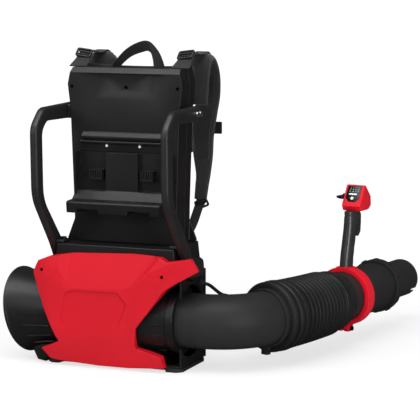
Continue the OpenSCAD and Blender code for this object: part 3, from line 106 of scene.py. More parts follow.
class Shader:
    """A node tree, of a new material unless a world is given, with short ways to add and join nodes."""

    def __init__(self, name, world=None):
        self.material = world or bpy.data.materials.new(name)
        self.material.use_nodes = True
        self.tree = self.material.node_tree
        self.surface = self.tree.nodes["Background" if world else "Principled BSDF"]

    def add(self, kind, **inputs):
        node = self.tree.nodes.new("ShaderNode" + kind)
        for key, value in inputs.items():
            self.put(node, key.replace("_", " "), value)
        return node

    def put(self, node, key, value):
        socket = node.inputs[key]
        if isinstance(value, bpy.types.NodeSocket):
            self.tree.links.new(value, socket)
        else:
            socket.default_value = value

    def set(self, **inputs):
        for key, value in inputs.items():
            self.put(self.surface, key.replace("_", " "), value)

    def place(self, uv=False):
        return self.add("TexCoord").outputs["UV" if uv else "Object"]

    def stretched(self, vector, scale):
        node = self.add("Mapping", Vector=vector)
        node.inputs["Scale"].default_value = scale
        return node.outputs[0]

    def noise(self, vector, scale, detail):
        return self.add("TexNoise", Vector=vector, Scale=scale, Detail=detail).outputs[0]

    def wave(self, vector, scale, direction, distortion):
        node = self.add("TexWave", Vector=vector, Scale=scale, Distortion=distortion)
        node.bands_direction = direction
        return node.outputs["Fac"]

    def ranged(self, value, low, high, start=0.3, end=0.7):
        node = self.add("MapRange", Value=value)
        for key, number in (("From Min", start), ("From Max", end), ("To Min", low), ("To Max", high)):
            self.put(node, key, number)
        return node.outputs[0]

    def math(self, operation, a, b):
        node = self.add("Math")
        node.operation = operation
        self.put(node, 0, a)
        self.put(node, 1, b)
        return node.outputs[0]

    def mix(self, factor, a, b):
        node = self.add("Mix")
        node.data_type = "RGBA"
        colours = [s for s in node.inputs if s.type == "RGBA"]
        self.put(node, 0, factor)
        for socket, value in zip(colours, (a, b)):
            if isinstance(value, bpy.types.NodeSocket):
                self.tree.links.new(value, socket)
            else:
                socket.default_value = (*value, 1)
        return [s for s in node.outputs if s.type == "RGBA"][0]

    def bump(self, height, strength, distance, normal=None):
        node = self.add("Bump", Height=height, Strength=strength, Distance=distance)
        if normal is not None:
            self.put(node, "Normal", normal)
        return node.outputs[0]


def shade(colour, k):
    return tuple(min(1, c * k) for c in colour)


def plastic(name, colour, rough, grain=900, grain_depth=0.25, mottle=0.14, specular=0.4):
    """Moulded plastic: a fine spark-eroded grain, slightly uneven gloss and handling marks."""
    s = Shader(name)
    at = s.place()
    broad = s.noise(at, 9, 5)
    fine = s.noise(at, grain, 2)
    scuffs = s.noise(s.stretched(at, (18, 18, 70)), 3, 6)
    dusty = s.ranged(scuffs, 0, 0.35, 0.62, 0.78)
    tone = s.mix(s.ranged(broad, 0, 1), shade(colour, 1 - mottle), shade(colour, 1 + mottle))
    s.set(
        Base_Color=s.mix(dusty, tone, shade(colour, 1.35)),
        Roughness=s.math("ADD", s.ranged(broad, rough - 0.05, rough + 0.05), s.ranged(scuffs, 0, 0.08)),
        Normal=s.bump(fine, grain_depth, 0.0002),
        Specular_IOR_Level=specular,
    )
    return s.material


def rubber(name, colour, rough=0.6, specular=0.3):
    """Moulded rubber: a dull skin with lighter patches of dust."""
    s = Shader(name)
    at = s.place()
    broad = s.noise(at, 14, 6)
    fine = s.noise(at, 500, 4)
    s.set(
        Base_Color=s.mix(s.ranged(broad, 0, 1, 0.35, 0.75), shade(colour, 0.85), shade(colour, 1.35)),
        Roughness=s.ranged(broad, rough - 0.07, rough + 0.1),
        Normal=s.bump(fine, 0.22, 0.0003),
        Specular_IOR_Level=specular,
    )
    return s.material


def metal(name, colour, rough):
    """Metal with faint brushing across x."""
    s = Shader(name)
    at = s.place()
    brushed = s.noise(s.stretched(at, (30, 400, 400)), 8, 4)
    s.set(
        Base_Color=s.mix(s.ranged(brushed, 0, 1), shade(colour, 0.85), shade(colour, 1.1)),
        Metallic=1.0,
        Roughness=s.ranged(brushed, rough - 0.08, rough + 0.1),
        Normal=s.bump(brushed, 0.15, 0.0001),
    )
    return s.material


WAVES_PER_METRE = 0.314


def weave(name, colour, thread=0.0011, depth=0.5):
    """Plain woven cloth: crossed threads, fuzz and a faint unevenness of the dye."""
    s = Shader(name)
    at = s.place(uv=True)
    per_metre = WAVES_PER_METRE / thread
    across = s.wave(at, per_metre, "X", 0.6)
    along = s.wave(at, per_metre, "Y", 0.6)
    threads = s.math("MULTIPLY", across, along)
    fuzz = s.noise(s.place(), 700, 4)
    dye = s.noise(s.place(), 16, 5)
    base = s.mix(s.ranged(dye, 0, 1), shade(colour, 0.8), shade(colour, 1.25))
    s.set(
        Base_Color=s.mix(s.ranged(threads, 0, 1, 0.1, 0.8), shade(colour, 0.45), base),
        Roughness=s.ranged(fuzz, 0.79, 0.93),
        Normal=s.bump(fuzz, 0.25, 0.0003, s.bump(threads, depth, 0.0005)),
        Sheen_Weight=0.3,
        Specular_IOR_Level=0.2,
    )
    return s.material


def spacer_mesh(name, colour, cell):
    """Knitted spacer fabric: rows of small dark eyelets."""
    s = Shader(name)
    at = s.place()
    cells = s.add("TexVoronoi", Vector=s.stretched(at, (1, 1, 0.7)), Scale=1 / cell).outputs[0]
    eye = s.ranged(cells, 0, 1, 0.18, 0.42)
    dye = s.noise(at, 14, 4)
    base = s.mix(s.ranged(dye, 0, 1), shade(colour, 0.8), shade(colour, 1.25))
    s.set(
        Base_Color=s.mix(eye, shade(colour, 0.3), base),
        Roughness=0.9,
        Normal=s.bump(eye, 0.6, 0.0006),
        Sheen_Weight=0.25,
        Specular_IOR_Level=0.15,
    )
    return s.material


def webbing_cloth(name, colour, rib=0.0022, pick=0.0013):
    """Narrow webbing: ribs along its length and slanting threads between them."""
    s = Shader(name)
    at = s.place(uv=True)
    ribs = s.wave(at, WAVES_PER_METRE / rib, "X", 0.2)
    picks = s.wave(at, WAVES_PER_METRE / pick, "DIAGONAL", 0.4)
    both = s.math("MULTIPLY", ribs, picks)
    fuzz = s.noise(s.place(), 900, 3)
    s.set(
        Base_Color=s.mix(s.ranged(both, 0, 1, 0.05, 0.8), shade(colour, 0.5), shade(colour, 1.3)),
        Roughness=s.ranged(fuzz, 0.66, 0.82),
        Normal=s.bump(fuzz, 0.15, 0.0003, s.bump(both, 0.5, 0.0005)),
        Sheen_Weight=0.2,
        Specular_IOR_Level=0.25,
    )
    return s.material


def circuit(name):
    """Green board with a grid of paler tracks."""
    s = Shader(name)
    tracks = s.add("TexBrick", Vector=s.stretched(s.place(), (120, 120, 120)), Scale=1.0,
                   Color1=(0.02, 0.13, 0.05, 1), Color2=(0.025, 0.17, 0.07, 1), Mortar=(0.05, 0.3, 0.12, 1))
    s.set(Base_Color=tracks.outputs[0], Roughness=0.3)
    return s.material


CHARCOAL = (0.0078, 0.0078, 0.0084)
RED = (0.58, 0.0065, 0.018)

LOOKS = {
    "rubber": rubber("look_rubber", (0.021, 0.021, 0.022)),
    "charcoal_plastic": plastic("look_charcoal", CHARCOAL, 0.37, specular=0.5),
    "red_plastic": plastic("look_red", RED, 0.42, 1100, 0.1, 0.05, 0.16),
    "steel": metal("look_steel", (0.62, 0.62, 0.64), 0.3),
    "copper": metal("look_copper", (0.7, 0.32, 0.15), 0.4),
    "impeller_plastic": plastic("look_impeller", (0.02, 0.02, 0.022), 0.4),
    "tube_plastic": plastic("look_tube", (0.023, 0.023, 0.024), 0.5, 700, 0.16, specular=0.24),
    "contact_metal": metal("look_contact", (0.85, 0.68, 0.36), 0.3),
    "white_plastic": plastic("look_white", (0.78, 0.78, 0.76), 0.3, 600, 0.05, 0.04),
    "circuit_board": circuit("look_board"),
    "pad_fabric": weave("look_pad", (0.027, 0.027, 0.0285)),
    "webbing": webbing_cloth("look_webbing", (0.021, 0.021, 0.0225)),
    "buckle_plastic": plastic("look_buckle", (0.010, 0.010, 0.011), 0.34, 600, 0.12, specular=0.45),
    "grip_rubber": rubber("look_grip", (0.026, 0.026, 0.027), 0.34, 1.0),
    "keypad_plastic": plastic("look_keypad", (0.006, 0.006, 0.0065), 0.3, 500, 0.05, specular=0.4),
}
BAR_LOOK = plastic("look_bar", (0.016, 0.016, 0.017), 0.38, specular=0.5)
# a lighter copy of the red plastic for the handle's red parts: painted light
RED_WITH_PAINTED_LIGHT = plastic("look_red_with_painted_light", (0.74, 0.007, 0.022), 0.4, 1100, 0.1, 0.05, 0.2)
DARK_SCREW = metal("look_screw", (0.012, 0.012, 0.013), 0.55)
PIPING = weave("look_piping", (0.024, 0.024, 0.026), 0.0008, 0.4)
LINING = spacer_mesh("look_lining", (0.013, 0.014, 0.018), cell=0.0034)
PANEL = weave("look_panel", (0.019, 0.019, 0.020), 0.0007, 0.3)
PRINT = plastic("look_print", (0.36, 0.36, 0.37), 0.5, 600, 0.03, 0.05)


def bolt_look():
    """Bright steel bolts at the tower, dark and less metallic ones at the feet."""
    s = Shader("look_bolt")
    height = s.add("SeparateXYZ", Vector=s.place()).outputs[2]
    bright = s.ranged(height, 0, 1, 0.4, 0.42)
    worn = s.noise(s.place(), 300, 4)
    s.set(
        Base_Color=s.mix(bright, (0.01, 0.01, 0.011), (0.72, 0.72, 0.74)),
        Metallic=s.ranged(height, 0.3, 1, 0.4, 0.42),
        Roughness=s.ranged(worn, 0.25, 0.4),
    )
    return s.material


SLOT_OF = {p["node"]: p["material_slot"] for p in frame["record"]["subparts"]}


# ---------------- CAD nodes that stay


WELD = 2e-5
SHARP_FROM = 30


def rounding(mesh, width):
    """How much of width each sharp edge has room for, by its ends' places; 0 for short ones."""
    tidy = bmesh.new()
    tidy.from_mesh(mesh)
    bmesh.ops.remove_doubles(tidy, verts=tidy.verts, dist=WELD)
    bmesh.ops.triangulate(tidy, faces=tidy.faces)
    tidy.faces.ensure_lookup_table()
    flat = {}
    rims = []
    for face in tidy.faces:
        if face.index in flat:
            continue
        group, queue, rim = len(rims), [face], []
        flat[face.index] = group
        while queue:
            here = queue.pop()
            for edge in here.edges:
                others = [f for f in edge.link_faces if f is not here]
                if others and others[0].normal.dot(face.normal) > 0.9999:
                    if others[0].index not in flat:
                        flat[others[0].index] = group
                        queue.append(others[0])
                else:
                    rim.append(edge)
        rims.append(rim)
    found = {}
    for edge in tidy.edges:
        if len(edge.link_faces) != 2 or edge.calc_face_angle(0) < deg(SHARP_FROM):
            continue
        p, q = edge.verts[0].co, edge.verts[1].co
        long = (q - p).length
        room = min(width, 0.8 * long)
        for face in edge.link_faces:
            third = next(v.co for v in face.verts if v not in edge.verts)
            along = (q - p) / max(long, 1e-9)
            inward = face.normal.cross(along)
            mid = (p + q) / 2
            if inward.dot(third - mid) < 0:
                inward = -inward
            for other in rims[flat[face.index]]:
                if other is edge:
                    continue
                c = [((v.co - mid).dot(inward), (v.co - mid).dot(along)) for v in other.verts]
                (x0, y0), (x1, y1) = c
                if (y0 > 0) != (y1 > 0):
                    x = x0 + (x1 - x0) * y0 / (y0 - y1)
                    if x > 1e-6:
                        room = min(room, 0.44 * x)
        weight = room / width if long > 0.0018 else 0.0
        found[frozenset((tuple(round(k, 5) for k in p), tuple(round(k, 5) for k in q)))] = weight
    tidy.free()
    return found


def soften(node, width):
    """Rounds a CAD node's edges with modifiers, each by no more than its faces have room for."""
    obj = NODES[node]
    mesh = obj.data
    for attribute in ("custom_normal", "sharp_face", "sharp_edge"):
        if attribute in mesh.attributes:
            mesh.attributes.remove(mesh.attributes[attribute])
    found = rounding(mesh, width * MM)
    weights, crisp = [], []
    for edge in mesh.edges:
        ends = frozenset(tuple(round(k, 5) for k in mesh.vertices[v].co) for v in edge.vertices)
        weight = found.get(ends)
        weights.append(weight or 0.0)
        crisp.append(weight is not None and weight < 0.1)
    mesh.attributes.new("bevel_weight_edge", "FLOAT", "EDGE").data.foreach_set("value", weights)
    mesh.attributes.new("sharp_edge", "BOOLEAN", "EDGE").data.foreach_set("value", crisp)
    weld = obj.modifiers.new("weld", "WELD")
    weld.merge_threshold = WELD
    bevel = obj.modifiers.new("bevel", "BEVEL")
    bevel.width = width * MM
    bevel.segments = 3
    bevel.limit_method = "WEIGHT"
    bevel.use_clamp_overlap = False
    bevel.miter_outer = "MITER_ARC"
    normals = obj.modifiers.new("normals", "WEIGHTED_NORMAL")
    normals.keep_sharp = True
    normals.weight = 80


EDGES = {
    "base_chassis": 2.2, "front_cover": 2.6, "back_panel": 1.6, "back_plate": 3.0, "battery_dock": 1.2,
    "foot_skid": 2.0, "control_head": 2.6, "trigger": 1.6, "clamp_ring": 1.6,
    "terminal_block_left": 0.4, "terminal_block_right": 0.4, "outlet_cone": 0.6, "outlet_ring": 1.2,
    "rear_hose_clamp": 1.0, "front_hose_clamp": 1.0, "nozzle": 0.9, "sternum_buckle": 3.0,
    "sternum_sliders": 1.6,
}
for node, obj in NODES.items():
    obj.data.materials.clear()
    obj.data.materials.append(LOOKS[SLOT_OF[node]])
    if node in EDGES:
        soften(node, EDGES[node])
for node in ("housing_screws", "clamp_bolt"):
    NODES[node].data.materials[0] = DARK_SCREW
# the clamp ring and control head take the lighter copy of the red plastic, painted light
for node in ("clamp_ring", "control_head"):
    NODES[node].data.materials[0] = RED_WITH_PAINTED_LIGHT
NODES["handle_bolts"].data.materials[0] = bolt_look()


# ---------------- mesh helpers


def smooth_faces(mesh, sharp):
    mesh.polygons.foreach_set("use_smooth", [True] * len(mesh.polygons))
    mesh.set_sharp_from_angle(angle=deg(sharp))


def face_outwards(mesh):
    tidy = bmesh.new()
    tidy.from_mesh(mesh)
    bmesh.ops.recalc_face_normals(tidy, faces=tidy.faces)
    tidy.to_mesh(mesh)
    tidy.free()


def finish_mesh(name, mesh, look, body, replaced=(), sharp=40):
    """A piece of a mesh, riding on its body unless that comes later."""
    obj = new_object(name, mesh)
    smooth_faces(mesh, sharp)
    mesh.materials.append(look)
    if body:
        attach(obj, body)
    if replaced:
        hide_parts(*replaced)
    return obj


def running_length(points):
    """Distance in metres along points in millimetres, at each of them."""
    out = [0.0]
    for a, b in zip(points, points[1:]):
        out.append(out[-1] + (Vector(b) - Vector(a)).length * MM)
    return out


def sweep_mesh(name, rings, closed_path=False):
    """Faces between rings of equally many points, given in millimetres, with a UV map in metres."""
    n = len(rings[0])
    m = len(rings)
    mesh = bpy.data.meshes.new(name)
    points = [tuple(p[k] * MM for k in range(3)) for ring in rings for p in ring]
    faces = []
    spans = m if closed_path else m - 1
    for j in range(spans):
        k = (j + 1) % m
        for i in range(n):
            faces.append((j * n + i, j * n + (i + 1) % n, k * n + (i + 1) % n, k * n + i))
    if not closed_path:
        faces.append(tuple(range(n - 1, -1, -1)))
        faces.append(tuple((m - 1) * n + i for i in range(n)))
    mesh.from_pydata(points, [], faces)
    layer = mesh.uv_layers.new(name="UVMap")
    round_at = running_length([*rings[m // 2], rings[m // 2][0]])
    along_at = running_length([rings[j % m][0] for j in range(spans + 1)])
    loop = 0
    for j in range(spans):
        for i in range(n):
            for u, v in ((i, j), (i + 1, j), (i + 1, j + 1), (i, j + 1)):
                layer.data[loop].uv = (round_at[u], along_at[v])
                loop += 1
    face_outwards(mesh)
    mesh.update()
    return mesh


def sweep(name, rings, look, body, replaced=(), closed_path=False, sharp=40):
    return finish_mesh(name, sweep_mesh(name, rings, closed_path), look, body, replaced, sharp)


def joined(name, meshes):
    """One mesh of several."""
    tidy = bmesh.new()
    for mesh in meshes:
        tidy.from_mesh(mesh)
    out = bpy.data.meshes.new(name)
    tidy.to_mesh(out)
    tidy.free()
    return out


def spline(points, steps):
    """Catmull-Rom points through rows of numbers."""
    p = [np.array(q, float) for q in points]
    out = []
    for i in range(len(p) - 1):
        a, b, c, d = p[max(0, i - 1)], p[i], p[i + 1], p[min(len(p) - 1, i + 2)]
        for k in range(steps):
            t = k / steps
            out.append(0.5 * (2 * b + (c - a) * t + (2 * a - 5 * b + 4 * c - d) * t * t
                              + (3 * b - a - 3 * c + d) * t ** 3))
    out.append(p[-1])
    return out


def unit(v):
    v = np.array(v, float)
    return v / max(1e-9, np.linalg.norm(v))


def turns(count, start=0.0):
    """Angles once round, the first of them start steps on."""
    return [2 * math.pi * (k + start) / count for k in range(count)]


def squared(value, power):
    """A cosine or sine raised to a power with its sign kept, for a ring with fuller corners."""
    return math.copysign(abs(value) ** power, value)


def corner_curve(a, b, c, reach, steps):
    """The corner at b turned into a short curve that starts and ends reach from it."""
    p, q = b + unit(a - b) * reach, b + unit(c - b) * reach
    shares = [i / steps for i in range(steps + 1)]
    return [(1 - t) ** 2 * p + 2 * t * (1 - t) * b + t * t * q for t in shares]


def tangents(points):
    p = [np.array(q, float) for q in points]
    last = len(p) - 1
    return [unit(p[min(last, i + 1)] - p[max(0, i - 1)]) for i in range(len(p))]


def ribbon_rings(points, sides, widths, thickness):
    """Rings of a flat strap: side is its width's direction at each point."""
    rings = []
    h = thickness / 2
    for p, t, side, width in zip(points, tangents(points), sides, widths):
        s = unit(np.array(side) - np.dot(side, t) * t)
        n = np.cross(t, s)
        w = width / 2
        under = [(-w, -h * 0.4), (-w + h * 0.6, -h), (-w / 2, -h), (0, -h), (w / 2, -h), (w - h * 0.6, -h),
                 (w, -h * 0.4)]
        over = [(-u, -v) for u, v in under]
        rings.append([np.array(p) + s * u + n * v for u, v in under + over])
    return rings


def tube_rings(points, radius, sides):
    """Rings of a round cord along points."""
    rings = []
    ts = tangents(points)
    up = unit(np.cross(ts[0], (0.3, 0.2, 1)))
    for p, t in zip(points, ts):
        up = unit(up - np.dot(up, t) * t)
        side = np.cross(t, up)
        rings.append([np.array(p) + radius * (math.cos(a) * up + math.sin(a) * side) for a in turns(sides)])
    return rings


def rounded_box(name, lo, hi, r):
    """A block with rounded edges, in millimetres."""
    mesh = bpy.data.meshes.new(name)
    block = bmesh.new()
    size = [b - a for a, b in zip(lo, hi)]
    mid = Vector([(a + b) / 2 for a, b in zip(lo, hi)]) * MM
    bmesh.ops.create_cube(block, size=1, matrix=Matrix.Translation(mid) @ Matrix.Diagonal((*size, 1000)) * MM)
    bmesh.ops.bevel(block, geom=block.edges[:], offset=r * MM, segments=3, profile=0.5, affect="EDGES")
    block.to_mesh(mesh)
    block.free()
    return mesh


def filleted(points, reach=None, share=0.46, steps=7):
    """A polyline with each inner corner turned into a curve, no longer than a share of its sides."""
    p = [np.array(q, float) for q in points]
    out = [p[0]]
    for k, (a, b, c) in enumerate(zip(p, p[1:], p[2:])):
        r = share * min(np.linalg.norm(b - a), np.linalg.norm(c - b))
        out += corner_curve(a, b, c, min(r, reach[k]) if reach else r, steps)
    return out + [p[-1]]


def rounded_outline(corners, r, steps):
    """A closed outline with each corner turned into a curve that starts and ends r from it."""
    c = [np.array(q, float) for q in corners]
    around = zip(c[-1:] + c, c, c[1:] + c[:1])
    return [p for before, here, after in around for p in corner_curve(before, here, after, r, steps)]


# ---------------- control cable, as in part.scad

CABLE_D = 0.007
ELBOW_R, ELBOW_BEND_R = 54, 106
ELBOW_CENTRE = np.array([163.3, 96, 95])
gland = np.array([140.0, 40.0, 160.0])
entry_turn, entry_rise = 67, 25
entry_out = np.array([math.sin(deg(entry_turn)), -math.cos(deg(entry_turn)), 0])
entry_dir = math.cos(deg(entry_rise)) * entry_out - math.sin(deg(entry_rise)) * UP
entry_r = ELBOW_BEND_R - ELBOW_R * math.cos(deg(entry_rise))
entry_at = ELBOW_CENTRE + entry_r * entry_out + ELBOW_R * math.sin(deg(entry_rise)) * UP
route = [gland + np.array(p) for p in (
    (4, 0, 0), (9, 0, 0), (13.5, 2.6, -1), (17.5, 8.5, -5), (22, 15, -11), (27, 21, -17.5), (34, 27, -24))]
route += [entry_at + np.array(p) for p in ((-33, -0.5, 15), (-24, 4.5, 11.5), (-15.5, 6, 8))]
route += [entry_at - back * entry_dir for back in (9, 3.5)]
cable_line = spline(route, 4)
cable_curve = bpy.data.curves.new("control_cable_run", "CURVE")
cable_curve.dimensions = "3D"
cable_curve.bevel_depth = CABLE_D / 2
cable_curve.bevel_resolution = 5
strand = cable_curve.splines.new("POLY")
strand.points.add(len(cable_line) - 1)
for point, p in zip(strand.points, cable_line):
    point.co = (*(p * MM), 1)
cable_curve.materials.append(rubber("look_cable", (0.010, 0.010, 0.011), 0.45))
cable = new_object("control_cable_run", cable_curve)
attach(cable, "pack")
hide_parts("control_cable")


# ---------------- side handles

tower_top = highest("back_panel").z
tower_front = lowest("back_panel").y
base_front = lowest("base_chassis").y
shoulder = highest("base_chassis").z
reach_y = lowest("side_handle_right").y
BAR_W, BAR_D = 16.0, 29.0
bar_x = highest("side_handle_right").x - BAR_W / 2
bar_outer = filleted([
    (tower_front + 42, tower_top - 72), (reach_y + 38, tower_top - 74), (reach_y, tower_top - 108),
    (reach_y + 3, shoulder + 96), (base_front + 2, shoulder),
    (base_front + 20, shoulder - 29)], (12, 17, 26, 8))
bar_inner = filleted([
    (tower_front + 42, tower_top - 74 - BAR_D), (reach_y + 50, tower_top - 72 - BAR_D),
    (reach_y + BAR_D, tower_top - 120), (reach_y + BAR_D + 3, shoulder + 92), (base_front + 40, shoulder),
    (base_front + 56, shoulder - 29)], (12, 12, 26, 8))
BAR_CORNER = 5.5
foot_x, foot_z = highest("back_panel").x - 3.5, tower_top - 73 - BAR_D
top_foot = (foot_x, tower_front + 12, foot_z), (bar_x, tower_front + 42, foot_z + BAR_D - 2)
low_foot = (bar_x - 24, base_front + 6, shoulder + 0.3), (bar_x + 2, base_front + 36, shoulder + 6.3)
for side, label in SIDES:
    rings = []
    for o, i in zip(bar_outer, bar_inner):
        mid, half = (o + i) / 2, np.linalg.norm(o - i) / 2
        v = (o - i) / (2 * half)
        ring = []
        for cx, cv, start in ((1, 1, 0), (-1, 1, 90), (-1, -1, 180), (1, -1, 270)):
            for q in range(5):
                a = deg(start + q * 22.5)
                x = bar_x + cx * (BAR_W / 2 - BAR_CORNER) + BAR_CORNER * math.cos(a)
                w = cv * (half - BAR_CORNER) + BAR_CORNER * math.sin(a)
                ring.append((side * x, mid[0] + v[0] * w, mid[1] + v[1] * w))
        rings.append(ring)
    parts = [sweep_mesh("bar", rings)]
    for lo, hi in (top_foot, low_foot):
        xs = sorted((side * lo[0], side * hi[0]))
        parts.append(rounded_box("foot", (xs[0], lo[1], lo[2]), (xs[1], hi[1], hi[2]), 1.6))
    node = f"side_handle_{label}"
    bar = joined(node + "_bar", parts)
    finish_mesh(node + "_bar", bar, BAR_LOOK, "pack", [node], sharp=50)


# ---------------- intake bell

fan_y, fan_z = joint_at("impeller_spin")[1], joint_at("impeller_spin")[2]
DUCT_R, MOUTH_R, BELL_WALL = 62.0, 82.0, 3.0
BELL_L, TOE, DROOP = 102.0, 5.5, 11.0
BELL_SIDES, FINS = 96, 10
bell_x = lowest("fan_duct").x - 0.3


def bell_normal(t):
    toe, droop = deg(TOE * t), deg(DROOP * t)
    return np.array([-math.cos(toe) * math.cos(droop), math.sin(toe) * math.cos(droop), -math.sin(droop)])


def bell_centre(t):
    a = np.array([bell_x, fan_y, fan_z])
    d = np.array([bell_x - BELL_L, fan_y + BELL_L * math.tan(deg(TOE)), fan_z - 2])
    b = a + np.array([-BELL_L / 3, 0, 0])
    c = d - BELL_L / 3 * bell_normal(1)
    past = max(0, t - 1)
    t = min(1, t)
    u = 1 - t
    return u ** 3 * a + 3 * u * u * t * b + 3 * u * t * t * c + t ** 3 * d + past * BELL_L * bell_normal(1)


def bell_r(t):
    return DUCT_R + (MOUTH_R - DUCT_R) * min(1, t) ** 2


def bell_point(t, angle, r):
    tt = min(1, t)
    toe = deg(TOE * tt)
    side = np.array([math.sin(toe), math.cos(toe), 0])
    up = np.cross(side, bell_normal(tt))
    return bell_centre(t) + r * (math.cos(angle) * side + math.sin(angle) * up)


def ring_at(t, r):
    return [bell_point(t, a, r) for a in turns(BELL_SIDES)]


bell_rings = []
for x, r in ((0, 66), (0, 70), (-0.5, 70.4), (-2.6, 70.4), (-3, 70), (-3, 65.6)):
    bell_rings.append([
        (bell_x + x, fan_y + r * math.cos(a), fan_z + r * math.sin(a)) for a in turns(BELL_SIDES)])
for t in np.linspace(0.05, 0.93, 26):
    bell_rings.append(ring_at(t, bell_r(t) + BELL_WALL))
for t, grow in ((0.945, 3.0), (0.955, 3.6), (0.965, 4.3), (0.98, 4.6), (0.993, 4.4), (1.0, 3.8), (1.002, 2.6),
                (1.0, 1.2), (0.99, 0.3), (0.975, 0.0)):
    bell_rings.append(ring_at(t, bell_r(t) + grow))
for t in np.linspace(0.95, 0.0, 22):
    bell_rings.append(ring_at(t, bell_r(t)))
bell_parts = [sweep_mesh("bell_shell", bell_rings, closed_path=True)]
for k in range(FINS):
    angle = deg(178 + 20 * k)
    fin = []
    for t, h in ((0.19, 0.2), (0.22, 1.6), (0.28, 2.4), (0.4, 2.6), (0.6, 2.5), (0.68, 1.8), (0.73, 0.3)):
        r = bell_r(t) + BELL_WALL
        a = 1.1 / r
        fin.append([bell_point(t, angle + q * a, r + v) for q, v in (
            (-1.4, -1.2), (-1, h * 0.5), (-0.6, h), (0.6, h), (1, h * 0.5), (1.4, -1.2))])
    bell_parts.append(sweep_mesh("bell_fin", fin))
finish_mesh("intake_bell_shell", joined("intake_bell_shell", bell_parts), LOOKS["charcoal_plastic"], "pack",
            ["inlet_bell"])


# ---------------- bellows

tube_dir = np.array(JOINTS["nozzle_twist"]["axis"])
tube_side = np.array(JOINTS["tube_lift"]["axis"])
tube_head = math.atan2(tube_dir[1], tube_dir[0])
HOSE_TURN = deg(10)
HOSE_LEN, REAR_CUFF, FRONT_CUFF = 227.0, 30.0, 32.0
arc_len = HOSE_LEN - REAR_CUFF - FRONT_CUFF
arc_r = arc_len / HOSE_TURN
SWING_AT = 65.0
start_head = tube_head - HOSE_TURN


def hose_heading(s):
    return start_head + HOSE_TURN * min(1, max(0, (s - REAR_CUFF) / arc_len))


def flat_dir(a):
    return np.array([math.cos(a), math.sin(a), 0])


swing = np.array(joint_at("tube_swing"))
arc_centre = swing + arc_r * flat_dir(hose_heading(SWING_AT) + math.pi / 2)


def hose_centre(s):
    c = min(REAR_CUFF + arc_len, max(REAR_CUFF, s))
    h = hose_heading(c)
    return arc_centre + arc_r * flat_dir(h - math.pi / 2) + (s - c) * flat_dir(h)


def hose_ring(s, r):
    c, h = hose_centre(s), hose_heading(s)
    side = np.array([math.sin(h), -math.cos(h), 0])
    return [c + r * (math.cos(a) * side + math.sin(a) * UP) for a in turns(80)]


REAR_R, FRONT_R, RIBS, RIB_DEPTH = 69.0, 63.0, 11, 6.4
rib_start, rib_end = REAR_CUFF + 21, HOSE_LEN - FRONT_CUFF - 13
pitch = (rib_end - rib_start) / RIBS


def crest_r(s):
    return REAR_R + (FRONT_R + 4 - REAR_R) * (s - rib_start) / (rib_end - rib_start)


# places along the hose and radii, with the rear cuff's two bands first
profile = [(s, REAR_R + r) for s, r in (
    (0, -12), (0, -4), (1.5, 0.4), (3, 1), (9.5, 1), (11.5, 0), (12.3, -6), (17, -6.5), (18.5, 0), (20, 1.8),
    (27, 1.8), (29, 0.5), (30.3, -5.5), (34.5, -6), (36.5, 0.5), (38.5, 0.6))]
profile += [(rib_start - 4.5, REAR_R), (rib_start - 2.5, REAR_R - 1.5), (rib_start - 1, REAR_R - 6)]
for k in range(RIBS):
    s = rib_start + k * pitch
    top = crest_r(s + pitch / 2)
    profile += [(s + 0.8, top - RIB_DEPTH - 0.8), (s + 2.4, top - RIB_DEPTH - 0.4),
                (s + 0.36 * pitch, top - 0.6), (s + 0.5 * pitch, top), (s + 0.8 * pitch, top - 0.6)]
profile += [(rib_end + s, FRONT_R + r) for s, r in ((0.8, -3.2), (3, -2.6), (5, 1.2), (8, 1.6), (10, -0.6))]
profile += [(HOSE_LEN - s, FRONT_R - r) for s, r in (
    (17, 0.8), (16, 0.1), (12, 0.1), (11, 1), (3, 1.4), (0, 4.5))]
profile = filleted(profile, share=0.42, steps=4)
bore = [(HOSE_LEN, 52.1), (HOSE_LEN - 29, 52.1), (rib_end - 20, 55.5), (rib_start + 70, 56.5),
        (rib_start - 6, 56.5), (29, 54.6), (0, 54.6)]
SPLIT = 112.0


def at_split(points):
    """The point where a line along the hose passes from its rear half to its front half."""
    return SPLIT, float(np.interp(SPLIT, *zip(*points)))


outer_split, inner_split = at_split(profile), at_split(sorted(bore))
outer_rear = [p for p in profile if p[0] < SPLIT] + [outer_split]
outer_front = [outer_split] + [p for p in profile if p[0] > SPLIT]
inner_rear = [inner_split] + [p for p in bore if p[0] < SPLIT]
inner_front = [p for p in bore if p[0] > SPLIT] + [inner_split]
bellows_look = rubber("look_bellows", (0.012, 0.012, 0.0125), 0.42, 0.5)


def hose_half(name, line):
    rings = [hose_ring(s, r) for s, r in line]
    return sweep(name, rings, bellows_look, None, ["bellows"], closed_path=True, sharp=60)


rear_half = hose_half("bellows_rear_half", outer_rear + inner_rear)
front_half = hose_half("bellows_front_half", outer_front + inner_front)
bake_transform(rear_half)
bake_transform(front_half)


# ---------------- grip

TUBE_SHOWN, CLAMP_AT = 214.0, 66.0
hose_end = np.array(joint_at("nozzle_twist")) - TUBE_SHOWN * tube_dir
handle_at = hose_end + CLAMP_AT * tube_dir


def on_handle(x, y, z):
    return handle_at + x * tube_side + y * tube_dir + z * UP


